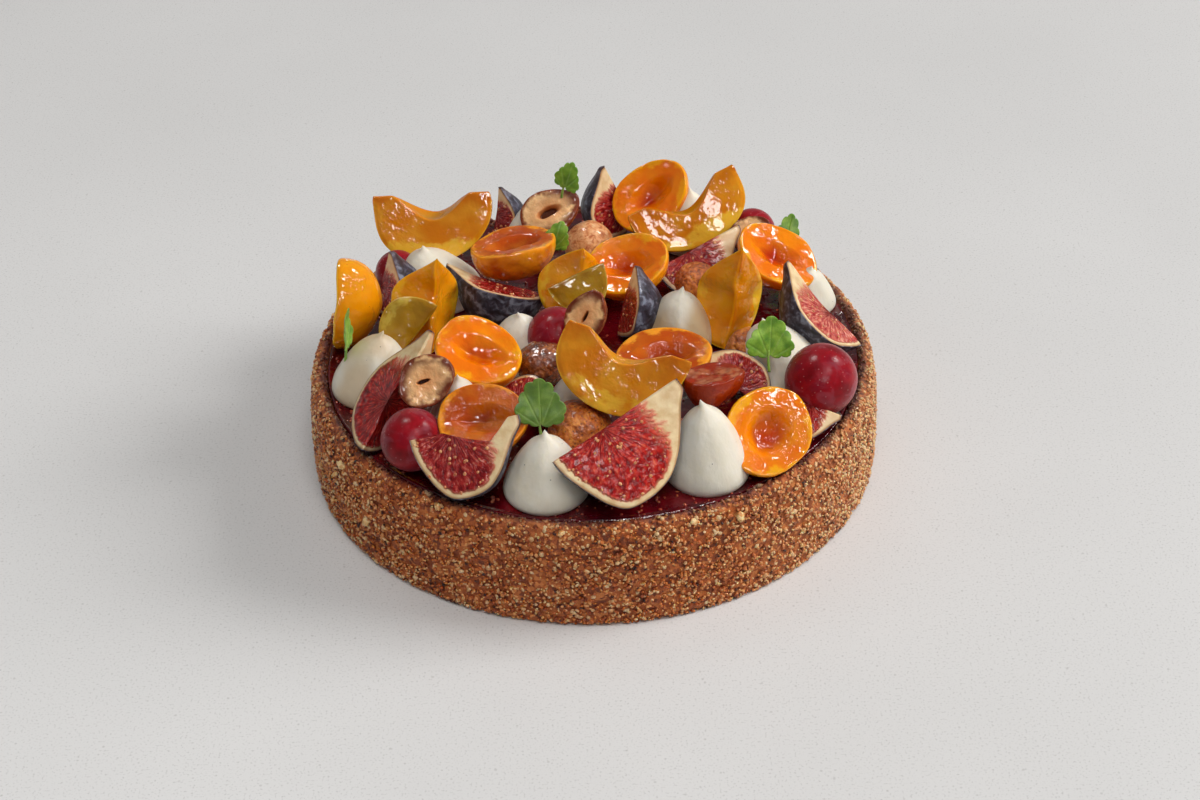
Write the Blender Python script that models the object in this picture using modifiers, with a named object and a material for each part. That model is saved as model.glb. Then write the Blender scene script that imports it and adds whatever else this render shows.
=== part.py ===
"""A round fig and plum tart: a crumbed crust, a red berry glaze, and a pile of cream, cut fruit, nuts and
leaves.

The origin is the centre of the base, +Z is up, and +X runs to the right of someone who stands on the -Y side.
Sizes in the tables are millimetres. Each topping states about where it lies, the way that it points and the
way that its cut face looks. It is then slid in from the front and above until it meets the glaze or what was
laid before it, so that no two pieces share any space.
"""

import math

import bmesh
import bpy
from mathutils import Matrix, Vector
from mathutils.bvhtree import BVHTree

MM = 0.001
GAP = 0.3

# Crust and glaze, in millimetres.
CRUST_RADIUS = 80.0
CRUST_HEIGHT = 31.0
WALL_HEIGHT = 28.0
RIM_RADIUS = 77.0
RECESS_RADIUS = 74.4
GLAZE_TOP = 30.0
GLAZE_THICKNESS = 4.0
CRUMB_DEPTH = 0.55
CRUST_TAPER = 1.7
CRUST_STEPS = 90
GLAZE_STEPS = 48

# Where the toppings are slid in from, and how far back along that line each one starts.
HAND = (2.0, -459.0, 355.0)
START_BACK = 60.0
# How far a topping may shift sideways while it finds its place, and how it weighs a shift against a deeper
# seat.
NUDGES = (0.0, 1.2, 2.4)
NUDGE_HEADINGS = 8
NUDGE_COST = 1.2
SLIDE_STEP = 1.5
SLIDE_TRIES = 6
# How far past its stated place it may go, and how far it may sink straight down after that.
PAST_LIMIT = 2.0
SINK_LIMIT = 3.0
# A cream's firm core, as shares of its radius and height: fruit sinks into the rest of it.
CORE_RADIUS = 0.55
CORE_HEIGHT = 0.66

# The outlines of a piped kiss and of its core, as shares of the base radius and the height.
KISS = (
    (0.0, 1.0), (0.06, 0.94), (0.22, 0.86), (0.43, 0.76), (0.62, 0.60), (0.79, 0.41), (0.94, 0.20),
    (0.98, 0.06), (0.92, 0.0), (0.0, 0.0),
)
DOME = (
    (0.0, 1.0), (0.08, 0.96), (0.30, 0.90), (0.53, 0.79), (0.71, 0.63), (0.86, 0.42), (0.97, 0.20),
    (0.97, 0.04), (0.90, 0.0), (0.0, 0.0),
)
# The hollow of a plum half or a nut half, as a share of its width and of its depth, and the steps round it.
PLUM_HOLLOW = (0.5, 0.34, 14)
NUT_HOLLOW = (0.22, 0.22, 10)
NUT_TIP = 0.12

UP = (0.0, 0.0, 1.0)
RIGHT = (1.0, 0.0, 0.0)

# Cream kisses: x, y, base radius, height, and how far the tip leans in x and y.
CREAMS = {
    "cream_01": (-60.3, -14.5, 11.8, 18.0, 3.0, 1.5),
    "cream_02": (-45.0, 32.0, 13.5, 16.0, -4.0, 0.0),
    "cream_03": (-12.5, -60.8, 11.4, 18.5, 0.5, 0.5),
    "cream_04": (29.0, -55.0, 11.4, 23.0, -1.0, 0.5),
    "cream_05": (-20.5, -5.0, 10.5, 18.0, 1.0, 0.0),
    "cream_06": (-35.5, -36.0, 9.0, 20.0, 0.0, 0.0),
    "cream_07": (-4.5, -30.0, 9.5, 15.0, 0.0, 0.0),
    "cream_08": (24.5, 6.0, 10.5, 17.0, 0.5, 0.0),
    "cream_09": (51.5, -12.5, 13.0, 17.5, -5.0, 1.0),
    "cream_10": (29.5, 57.0, 9.4, 18.0, 1.5, 1.5),
    "cream_11": (-17.0, 59.0, 9.0, 14.0, 0.0, 0.0),
}

# Grapes: x, y, z and radius.
GRAPES = {
    "grape_01": (59.8, -32.5, 40.0, 9.7),
    "grape_02": (-46.5, -52.0, 38.5, 8.2),
    "grape_03": (-10.5, -1.5, 39.0, 8.0),
    "grape_04": (48.0, 46.5, 37.5, 7.0),
}

# Baked balls: x, y, z and radius.
BALLS = {
    "baked_ball_01": (-14.0, -18.0, 42.0, 6.8),
    "baked_ball_02": (-3.5, -47.0, 37.0, 8.4),
    "baked_ball_03": (43.5, -11.0, 37.5, 6.8),
}

# Fig wedges: x, y, z, the way the stem points, the way the shown cut looks, the side its belly is on (+1 is
# to the left of the stem's way), length, radius, opening angle in degrees, and the depth of the hollow in its
# core.
FIGS = {
    "fig_wedge_01": (-55.0, -33.0, 42.0, (0.57, 0.60, 0.45), (-0.62, -0.20, 0.75), 1, 36.0, 14.0, 62.0, 0.0),
    "fig_wedge_02": (-31.0, -61.5, 40.5, (0.97, 0.10, 0.17), (-0.18, -0.76, 0.62), -1, 29.0, 18.0, 42.0, 6.0),
    "fig_wedge_03": (11.5, -66.0, 41.5, (0.84, 0.40, 0.36), (0.22, -0.76, 0.62), -1, 38.0, 21.5, 55.0, 0.0),
    "fig_wedge_04": (-28.0, 11.0, 43.0, (-0.88, 0.30, 0.32), (0.30, 0.30, 0.90), 1, 30.0, 14.0, 70.0, 0.0),
    "fig_wedge_05": (-56.5, 16.5, 41.0, (0.28, 0.05, 0.95), (-0.80, -0.55, 0.20), -1, 20.0, 12.0, 70.0, 0.0),
    "fig_wedge_06": (-23.5, 59.0, 38.0, (0.10, 0.15, 0.95), (-0.70, -0.70, 0.20), -1, 15.0, 9.0, 70.0, 0.0),
    "fig_wedge_07": (4.0, 58.0, 42.0, (-0.40, 0.06, 0.90), (0.62, -0.70, 0.30), 1, 22.0, 14.0, 70.0, 0.0),
    "fig_wedge_08": (33.5, 28.5, 40.0, (0.88, 0.38, 0.28), (0.10, -0.70, 0.70), -1, 28.0, 13.0, 60.0, 0.0),
    "fig_wedge_09": (12.0, 3.0, 42.0, (0.20, 0.25, 0.90), (-0.90, -0.25, 0.30), -1, 21.0, 12.0, 65.0, 0.0),
    "fig_wedge_10": (62.0, -3.0, 41.0, (-0.64, 0.46, 0.62), (0.72, -0.15, 0.85), 1, 31.0, 14.0, 60.0, 0.0),
    "fig_wedge_11": (39.0, -21.0, 38.0, (-0.85, 0.45, 0.15), (0.20, -0.55, 0.80), -1, 25.0, 11.0, 50.0, 0.0),
    "fig_wedge_12": (-16.0, -27.0, 38.0, (0.46, -0.89, 0.15), (-0.30, -0.30, 0.90), 1, 19.0, 9.0, 55.0, 0.0),
    "fig_wedge_13": (57.5, -40.0, 37.0, (0.84, -0.38, -0.10), (0.20, -0.75, 0.62), -1, 15.0, 9.5, 60.0, 0.0),
}

# Plum slices, like the fig wedges but with the hollow of the stone: x, y, z, the way of the long axis, the
# way the shown cut looks, the side of the belly, length, radius, opening angle, the hollow as a share of the
# radius, and how sharply the second tip is drawn out.
SLICES = {
    "plum_slice_01": (
        -46.0, 43.0, 46.0, (0.99, 0.13, -0.06), (-0.05, -0.85, 0.53),
        -1, 35.0, 20.5, 50.0, 0.38, 0.95,
    ),
    "plum_slice_02": (
        32.0, 41.0, 46.5, (0.90, 0.25, 0.34), (0.05, -0.80, 0.58),
        -1, 35.0, 18.0, 45.0, 0.42, 0.75,
    ),
    "plum_slice_03": (
        5.5, -37.5, 49.0, (0.90, -0.42, -0.12), (-0.10, -0.80, 0.60),
        -1, 34.0, 20.0, 36.0, 0.32, 0.95,
    ),
    "plum_slice_04": (
        -53.0, -1.5, 44.0, (0.57, 0.10, 0.80), (-0.10, -0.85, 0.50),
        1, 20.0, 11.5, 60.0, 0.0, 1.3,
    ),
    "plum_slice_05": (
        -1.7, 13.0, 42.0, (0.84, -0.10, 0.45), (0.10, -0.85, 0.50),
        -1, 17.0, 11.0, 45.0, 0.0, 1.2,
    ),
    "plum_slice_06": (
        33.6, 4.0, 46.0, (0.16, 0.25, 0.95), (-0.62, -0.72, 0.30),
        1, 30.0, 13.2, 92.0, 0.0, 2.6,
    ),
    "plum_slice_07": (
        -47.5, 8.0, 45.0, (0.10, 0.25, 0.95), (-0.40, -0.85, 0.30),
        1, 28.0, 14.0, 90.0, 0.0, 2.6,
    ),
    "plum_slice_08": (
        -10.5, 13.0, 45.0, (0.10, 0.20, 0.96), (-0.48, -0.82, 0.30),
        1, 23.0, 13.0, 90.0, 0.0, 2.4,
    ),
}

# How far the hollow of a slice reaches from its middle, as a share of the length, and how blunt its first
# tip is.
HOLLOW_REACH = 0.36
BLUNT = 0.75

# Plum halves: x, y, z, the way of the long axis, the way the cut looks, length, width and depth, and how far
# the end of the long axis is drawn out to a tip.
HALVES = {
    "plum_half_01": (-70.5, 5.0, 44.0, (0.05, 0.08, 0.99), (-0.98, 0.00, 0.10), 26.0, 20.0, 12.0, 0.1),
    "plum_half_02": (-23.5, 25.5, 50.0, (0.97, 0.22, 0.10), (-0.08, 0.15, 0.98), 25.0, 20.5, 11.5, 0.0),
    "plum_half_03": (-33.0, -23.0, 48.0, (0.93, -0.30, -0.10), (0.10, -0.40, 0.90), 23.5, 20.0, 9.5, 0.0),
    "plum_half_04": (-29.0, -50.0, 46.0, (0.99, 0.00, 0.05), (-0.08, -0.45, 0.88), 23.5, 20.5, 9.5, 0.0),
    "plum_half_05": (10.0, 21.5, 46.0, (0.95, -0.15, -0.05), (-0.25, -0.38, 0.88), 24.5, 20.5, 9.5, 0.0),
    "plum_half_06": (17.7, 58.6, 46.0, (0.78, 0.40, 0.45), (-0.32, -0.62, 0.72), 25.5, 20.0, 10.0, 0.0),
    "plum_half_07": (54.4, 26.5, 45.0, (0.90, -0.35, -0.20), (0.32, -0.35, 0.88), 25.0, 20.5, 10.0, 0.0),
    "plum_half_08": (19.4, -25.4, 48.0, (0.98, 0.15, 0.05), (0.00, -0.05, 1.00), 26.0, 21.0, 11.0, 0.0),
    "plum_half_09": (43.3, -53.9, 44.0, (0.20, 0.45, 0.85), (0.14, -0.62, 0.76), 24.0, 22.5, 9.5, 0.0),
}

# Hazelnuts: x, y, z, the way of the tip, the way the cut looks, length, width and depth.
NUTS = {
    "hazelnut_01": (-44.8, -36.2, 46.0, (0.85, 0.35, 0.20), (0.00, -0.80, 0.60), 14.5, 13.5, 7.0),
    "hazelnut_02": (-12.5, 55.2, 43.0, (0.80, 0.30, 0.40), (-0.10, -0.60, 0.80), 17.5, 14.5, 8.0),
    "hazelnut_03": (-2.0, 45.5, 41.5, (0.90, 0.20, 0.10), (0.05, 0.10, -0.99), 14.5, 14.0, 7.5),
    "hazelnut_04": (-1.5, -6.6, 46.0, (0.45, 0.50, 0.75), (-0.35, -0.75, 0.55), 14.0, 11.5, 6.5),
    "hazelnut_05": (31.0, -38.5, 50.0, (0.97, 0.10, 0.05), (0.05, 0.10, 0.99), 15.0, 12.0, 9.0),
    "hazelnut_06": (47.0, 43.5, 42.0, (0.80, 0.30, 0.40), (-0.20, -0.60, 0.75), 12.0, 10.5, 6.0),
}

# Leaves: x, y, z, the way from stem to tip, the way the upper side looks, length and width.
LEAVES = {
    "leaf_01": (-14.1, -52.4, 50.0, (-0.02, 0.30, 0.95), (0.05, -0.90, 0.30), 16.0, 12.5),
    "leaf_02": (47.5, -25.5, 50.0, (0.05, 0.35, 0.93), (0.05, -0.90, 0.35), 15.0, 12.0),
    "leaf_03": (-7.0, 62.0, 49.0, (0.35, 0.10, 0.93), (-0.30, -0.90, 0.20), 12.0, 7.5),
    "leaf_04": (56.8, 42.4, 42.0, (0.20, 0.20, 0.95), (-0.10, -0.90, 0.30), 15.0, 8.0),
}

# The order in which the toppings are laid, from the back and bottom of the pile to its front and top.
ORDER = (
    "cream_11", "fig_wedge_06", "hazelnut_02", "cream_10", "fig_wedge_07", "leaf_03", "plum_half_06",
    "grape_04", "hazelnut_06", "leaf_04", "plum_slice_01", "cream_02", "plum_slice_02", "hazelnut_03",
    "fig_wedge_08", "plum_half_05", "fig_wedge_05", "plum_half_07", "fig_wedge_04", "plum_half_02",
    "cream_08", "plum_slice_08", "plum_slice_05", "plum_half_01", "cream_05", "grape_03", "fig_wedge_09",
    "plum_slice_06", "plum_slice_07", "plum_slice_04", "fig_wedge_10", "hazelnut_04", "baked_ball_03",
    "cream_09", "cream_01", "grape_01", "fig_wedge_11", "fig_wedge_13", "plum_half_08", "hazelnut_05",
    "cream_07", "baked_ball_01", "fig_wedge_12", "fig_wedge_01", "cream_06", "plum_half_03",
    "baked_ball_02", "plum_slice_03", "grape_02", "hazelnut_01", "plum_half_04", "fig_wedge_02",
    "cream_04", "cream_03", "leaf_02", "fig_wedge_03", "plum_half_09", "leaf_01",
)


def new_material(name, colour, roughness):
    """A Principled BSDF with the piece's own colour and roughness."""
    made = bpy.data.materials.new(name)
    made.use_nodes = True
    shader = made.node_tree.nodes["Principled BSDF"]
    shader.inputs["Base Color"].default_value = (*colour, 1.0)
    shader.inputs["Roughness"].default_value = roughness
    shader.inputs["Metallic"].default_value = 0.0
    return made


def new_object(name, shape, material, collection):
    """An object whose mesh is the bmesh in millimetres, made metres, with its faces turned outwards."""
    bmesh.ops.recalc_face_normals(shape, faces=shape.faces)
    bmesh.ops.scale(shape, vec=(MM, MM, MM), verts=shape.verts)
    mesh = bpy.data.meshes.new(name)
    shape.to_mesh(mesh)
    shape.free()
    mesh.materials.append(material)
    mesh.shade_smooth()
    mesh.set_sharp_from_angle(angle=math.radians(50))
    made = bpy.data.objects.new(name, mesh)
    collection.objects.link(made)
    return made


def turned(profile, steps, angle=math.tau):
    """A bmesh of a profile of (radius, height) points, swept about Z by the angle."""
    mesh = bpy.data.meshes.new("profile")
    mesh.from_pydata([(r, 0.0, z) for r, z in profile], [(i, i + 1) for i in range(len(profile) - 1)], [])
    guide = bpy.data.objects.new("profile", mesh)
    bpy.context.scene.collection.objects.link(guide)
    screw = guide.modifiers.new("turn", "SCREW")
    screw.angle = angle
    screw.steps = screw.render_steps = steps
    screw.use_merge_vertices = True
    screw.merge_threshold = 0.0001
    swept = bpy.data.meshes.new_from_object(guide.evaluated_get(bpy.context.evaluated_depsgraph_get()))
    shape = bmesh.new()
    shape.from_mesh(swept)
    bmesh.ops.remove_doubles(shape, verts=shape.verts, dist=0.0001)
    bpy.data.objects.remove(guide)
    bpy.data.meshes.remove(mesh)
    bpy.data.meshes.remove(swept)
    return shape


def warp(shape, seed, depth=0.5, waves=0.22):
    """Bends the shape a little with three slow sine waves, so that no two pieces are alike."""
    for v in shape.verts:
        x, y, z = v.co
        v.co.x += depth * math.sin(waves * y + 1.3 * seed)
        v.co.y += depth * math.sin(waves * z + 2.1 * seed)
        v.co.z += depth * math.sin(waves * x + 3.7 * seed)


def crust_shape():
    """The crust: a turned case with a shallow recess, its outside roughened by crumbs."""
    recess = GLAZE_TOP - GLAZE_THICKNESS - GAP
    profile = [(0.0, recess), (RECESS_RADIUS, recess), (RECESS_RADIUS, CRUST_HEIGHT - 1.2)]
    profile += [(RECESS_RADIUS + 1.0, CRUST_HEIGHT), (RIM_RADIUS - 1.0, CRUST_HEIGHT)]
    profile.append((RIM_RADIUS + 0.6, CRUST_HEIGHT - 1.4))
    rows = 7
    for i in range(rows):
        height = WALL_HEIGHT * (1.0 - i / (rows - 1))
        foot = 0.5 if i == rows - 1 else 0.0
        profile.append((CRUST_RADIUS - CRUST_TAPER * (height / WALL_HEIGHT) ** 3 - foot, height))
    profile.append((0.0, 0.0))
    shape = turned(profile, CRUST_STEPS)
    for v in shape.verts:
        radius = math.hypot(v.co.x, v.co.y)
        if radius < RECESS_RADIUS + 0.5:
            continue
        place = v.co.x * 12.9898 + v.co.y * 78.233 + v.co.z * 37.719
        crumb = math.modf(math.sin(place) * 43758.5453)[0]
        grow = 1.0 + CRUMB_DEPTH * (crumb - 0.1) / radius
        v.co.x *= grow
        v.co.y *= grow
        if v.co.z > CRUST_HEIGHT - 0.5:
            v.co.z += CRUMB_DEPTH * 0.6 * crumb
    return shape


def glaze_shape():
    """The berry glaze: a disc that fills the recess to just under the rim."""
    edge = RECESS_RADIUS - GAP - 0.1
    low = GLAZE_TOP - GLAZE_THICKNESS
    profile = [(0.0, GLAZE_TOP), (edge - 1.5, GLAZE_TOP), (edge, GLAZE_TOP - 0.25), (edge, low), (0.0, low)]
    return turned(profile, GLAZE_STEPS)


def cream_shape(radius, height, lean_x, lean_y, outline=KISS, steps=12):
    """A piped kiss that is drawn up to a small point, or the dome of its firm core."""
    shape = turned([(r * radius, z * height) for r, z in outline], steps)
    for v in shape.verts:
        share = (v.co.z / height) ** 2
        v.co.x += lean_x * share
        v.co.y += lean_y * share
    return shape


def round_shape(radius, tall, rows, steps):
    """A ball from the sphere primitive, a little taller or flatter than round."""
    shape = bmesh.new()
    bmesh.ops.create_uvsphere(shape, u_segments=steps, v_segments=rows, radius=radius)
    bmesh.ops.scale(shape, vec=(1.0, 1.0, tall), verts=shape.verts)
    return shape


def half_shape(length, width, depth, tip, hollow, hollow_depth, steps):
    """Half a fruit or nut, turned and made oval: a dome below, a flat cut above with a hollow in it."""
    outline = [(0.0, -hollow_depth), (hollow * 0.55, -hollow_depth * 0.84)]
    outline += [(hollow * 0.9, -hollow_depth * 0.4), (hollow * 1.25, -0.02)]
    outline += [(0.95, 0.0), (0.99, -0.05), (1.0, -0.14)]
    outline += [(math.cos(a) ** 0.9, -0.1 - 0.9 * math.sin(a)) for a in (0.42, 0.78, 1.15)] + [(0.0, -1.0)]
    shape = turned([(r, z) for r, z in outline], steps)
    for v in shape.verts:
        pull = tip * max(0.0, v.co.x) ** 2
        v.co.x *= length / 2 * (1.0 + pull)
        v.co.y *= width / 2 * (1.0 - pull)
        v.co.z *= depth
    return shape


def wedge_shape(outer, inner, side, angle, steps):
    """A wedge of a turned fruit. Outer and inner are chains of (along, radius) points from base to stem, and
    the inner one is the wall of a hollow at the core. The shown cut lies in the plane z = 0, its belly on the
    given side."""
    turn = math.radians(angle)
    shape = turned([(r, x) for x, r in outer], steps, turn)
    if inner:
        wall = turned([(r, x) for x, r in inner], steps, turn)
        mesh = bpy.data.meshes.new("hollow")
        wall.to_mesh(mesh)
        wall.free()
        shape.from_mesh(mesh)
        bpy.data.meshes.remove(mesh)
        bmesh.ops.remove_doubles(shape, verts=shape.verts, dist=0.0001)
    ring = outer + inner[::-1]
    for heading in (0.0, turn):
        cut = []
        for x, r in ring:
            at = Vector((r * math.cos(heading), r * math.sin(heading), x))
            near = min(shape.verts, key=lambda v: (v.co - at).length_squared)
            if near not in cut:
                cut.append(near)
        shape.faces.new(cut)
    for v in shape.verts:
        v.co = Vector((v.co.z, side * v.co.x, -v.co.y))
    return shape


def fig_shape(side, length, radius, angle, hollow):
    """A fig wedge: a fat teardrop, round at its base and drawn in to a short neck at the stem."""
    outer = [(0.0, 0.0), (0.02, 0.27), (0.07, 0.56), (0.14, 0.80), (0.25, 0.97), (0.42, 1.0), (0.58, 0.94)]
    outer += [(0.71, 0.77), (0.82, 0.54), (0.92, 0.31), (1.0, 0.15), (1.0, 0.0)]
    inner = [(0.28, 0.0), (0.52, 0.65), (0.68, 1.0), (0.80, 0.55), (0.92, 0.0)] if hollow else []
    place = [((x - 0.5) * length, r * radius) for x, r in outer]
    shape = wedge_shape(place, [((x - 0.5) * length, r * hollow) for x, r in inner], side, angle, 4)
    bmesh.ops.translate(shape, vec=(0.0, -side * radius / 2, 0.0), verts=shape.verts)
    return shape


def slice_shape(side, length, radius, angle, hollow, sharp):
    """A plum slice: a crescent, blunt at its first end, with a long hollow where the stone was, if there was
    one."""
    last = 10
    outer = []
    for i in range(last + 1):
        bulge = math.sin(math.pi * i / last) if 0 < i < last else 0.0
        power = BLUNT if 2 * i < last else sharp
        outer.append((-math.cos(math.pi * i / last) * length / 2, radius * bulge ** power))
    last = 6
    inner = []
    for i in range(last + 1):
        bulge = math.sin(math.pi * i / last) if 0 < i < last else 0.0
        inner.append(((2.0 * i / last - 1.0) * length * HOLLOW_REACH, radius * hollow * bulge ** 1.5))
    shape = wedge_shape(outer, inner if hollow else [], side, angle, 4)
    bmesh.ops.translate(shape, vec=(0.0, -side * radius * (0.5 + 0.2 * hollow), 0.0), verts=shape.verts)
    return shape


def leaf_shape(length, width):
    """A leaf with three scalloped lobes on a short stem: a thin wavy solid, centred between stem and tip."""
    stem, rim, middle = 0.24 * length, 20, []
    blade = length - stem
    shape = bmesh.new()
    hub = shape.verts.new((stem + 0.45 * blade, 0.0, 0.0))
    ring = []
    for i in range(rim):
        turn = math.tau * i / rim
        reach = 0.50 + 0.07 * math.cos(3.0 * turn) + 0.035 * (-1) ** i
        x = stem + 0.47 * blade + reach * blade * math.cos(turn)
        y = reach * width * math.sin(turn)
        ring.append(shape.verts.new((x, y, 0.0)))
        middle.append(shape.verts.new((0.5 * (x + hub.co.x), 0.5 * y, 0.0)))
    for i in range(rim):
        k = (i + 1) % rim
        shape.faces.new((hub, middle[i], middle[k]))
        shape.faces.new((middle[i], ring[i], ring[k], middle[k]))
    foot = [shape.verts.new((0.0, y, 0.0)) for y in (-0.35, 0.35)]
    back = rim // 2
    neck = [ring[back - 1], ring[back], ring[back + 1]]
    neck[0].co = (stem, 0.5, 0.0)
    neck[2].co = (stem, -0.5, 0.0)
    neck[1].co = (stem + 0.2, 0.0, 0.0)
    shape.faces.new((foot[0], foot[1], neck[0], neck[1], neck[2]))
    for v in shape.verts:
        across = v.co.y / width
        lift = 2.0 * across * across + 0.7 * math.sin(0.35 * v.co.x) * max(0.0, v.co.x - stem) / blade
        v.co = Vector((v.co.x - length / 2, v.co.y, lift))
    bmesh.ops.triangulate(shape, faces=shape.faces)
    bmesh.ops.recalc_face_normals(shape, faces=shape.faces)
    bmesh.ops.solidify(shape, geom=shape.faces[:], thickness=0.45)
    return shape


def corners(points):
    """The lowest and highest corners of the box round the points."""
    return [min(p[i] for p in points) for i in range(3)], [max(p[i] for p in points) for i in range(3)]


def facing(along, face):
    """The turn that takes local X to the way along and local Z to the way the cut face looks."""
    z = Vector(face).normalized()
    x = (Vector(along) - Vector(along).project(z)).normalized()
    return Matrix((x, z.cross(x), z)).transposed().to_4x4()


class Pile:
    """What has been laid so far, as surfaces that the next piece mustn't touch."""

    def __init__(self, floor):
        self.floor = floor
        self.laid = []

    def blocked(self, points, faces):
        """The name of something laid so far that a surface meets, or an empty name."""
        low, high = corners(points)
        tree = None
        for name, other_low, other_high, other in self.laid:
            if any(low[i] > other_high[i] or high[i] < other_low[i] for i in range(3)):
                continue
            tree = tree or BVHTree.FromPolygons(points, faces)
            if tree.overlap(other):
                return name
        return ""

    def travel(self, points, faces, way, start, end):
        """How far along the way the points get, from start to end, before they meet the pile."""
        step = SLIDE_STEP * MM
        clear = start
        while clear < end:
            trial = min(end, clear + step)
            if self.blocked([p + way * trial for p in points], faces):
                break
            clear = trial
        else:
            return end
        if clear == start and self.blocked([p + way * start for p in points], faces):
            return None
        low, high = clear, trial
        for _ in range(SLIDE_TRIES):
            middle = (low + high) / 2
            if self.blocked([p + way * middle for p in points], faces):
                high = middle
            else:
                low = middle
        return low - GAP * MM

    def lay(self, name, points, faces):
        """Adds a surface to the pile."""
        low, high = corners(points)
        self.laid.append((name, low, high, BVHTree.FromPolygons(points, faces)))

    def settle(self, piece):
        """Slides a piece in along the line from the hand, with a small sideways shift where that seats it
        deeper, and then lets it sink a little. Returns how far it went past its stated place, how far it sank
        and what stopped it."""
        turn = piece.matrix_basis.to_3x3()
        points = [turn @ v.co + piece.location for v in piece.data.vertices]
        faces = [tuple(p.vertices) for p in piece.data.polygons]
        way = (piece.location - Vector(HAND) * MM).normalized()
        across = way.cross(Vector(UP)).normalized()
        aloft = across.cross(way)
        best = None
        for reach in NUDGES:
            for k in range(NUDGE_HEADINGS if reach else 1):
                heading = math.tau * k / NUDGE_HEADINGS
                shift = (across * math.cos(heading) + aloft * math.sin(heading)) * reach * MM
                moved = [p + shift for p in points]
                end = min(PAST_LIMIT * MM, (min(p.z for p in moved) - self.floor) / -way.z)
                gone = self.travel(moved, faces, way, -START_BACK * MM, end)
                if gone is None:
                    continue
                score = reach * MM * NUDGE_COST - gone
                if best is None or score < best[0]:
                    best = (score, shift + way * gone, gone)
        moved = [p + best[1] for p in points]
        down = Vector((0.0, 0.0, -1.0))
        end = min(SINK_LIMIT * MM, min(p.z for p in moved) - self.floor)
        sunk = self.travel(moved, faces, down, 0.0, end) if end > 0.0 else 0.0
        sunk = max(0.0, sunk or 0.0)
        step = best[1] + down * sunk
        piece.location += step
        stop = self.blocked([p + best[1] + way * 2.0 * GAP * MM for p in points], faces) or "nothing"
        self.lay(piece.name, [p + step for p in points], faces)
        return best[2], sunk, stop


def grown(piece, by, name):
    """A copy of a piece with its surface moved outwards, to cut its neighbour clear of it."""
    mesh = piece.data.copy()
    shape = bmesh.new()
    shape.from_mesh(mesh)
    shape.normal_update()
    for v, normal in [(v, v.normal.copy()) for v in shape.verts]:
        v.co += normal * by
    shape.to_mesh(mesh)
    shape.free()
    made = bpy.data.objects.new(name, mesh)
    made.matrix_basis = piece.matrix_basis
    made.hide_render = True
    made.display_type = "WIRE"
    return made


def near(a, b):
    """Whether two pieces' boxes meet."""
    low_a, high_a = corners([a.matrix_basis @ v.co for v in a.data.vertices])
    low_b, high_b = corners([b.matrix_basis @ v.co for v in b.data.vertices])
    return all(low_a[i] < high_b[i] + MM and high_a[i] > low_b[i] - MM for i in range(3))


def press(cream, others, cutters):
    """Cuts a cream kiss clear of the pieces pressed into it, and drops any crumb that this leaves."""
    for other in others:
        if not near(cream, other):
            continue
        cutter = grown(other, 1.2 * GAP * MM, "press_" + other.name)
        cutters.objects.link(cutter)
        cut = cream.modifiers.new("press", "BOOLEAN")
        cut.operation = "DIFFERENCE"
        cut.object = cutter
        bpy.context.view_layer.update()
        pressed = bpy.data.meshes.new_from_object(cream.evaluated_get(bpy.context.evaluated_depsgraph_get()))
        cream.modifiers.clear()
        bpy.data.objects.remove(cutter)
        shape = bmesh.new()
        shape.from_mesh(pressed)
        bmesh.ops.triangulate(shape, faces=shape.faces)
        bmesh.ops.dissolve_degenerate(shape, edges=shape.edges, dist=0.02 * MM)
        keep_largest(shape)
        shape.to_mesh(pressed)
        shape.free()
        cream.data = pressed


def keep_largest(shape):
    """Leaves only the connected part of the mesh with the most faces."""
    left = set(shape.faces)
    parts = []
    while left:
        part, edge = set(), [left.pop()]
        while edge:
            face = edge.pop()
            part.add(face)
            for neighbour in (f for e in face.edges for f in e.link_faces if f in left):
                left.discard(neighbour)
                edge.append(neighbour)
        parts.append(part)
    parts.sort(key=len)
    loose = [f for part in parts[:-1] for f in part]
    bmesh.ops.delete(shape, geom=loose, context="FACES")


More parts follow.
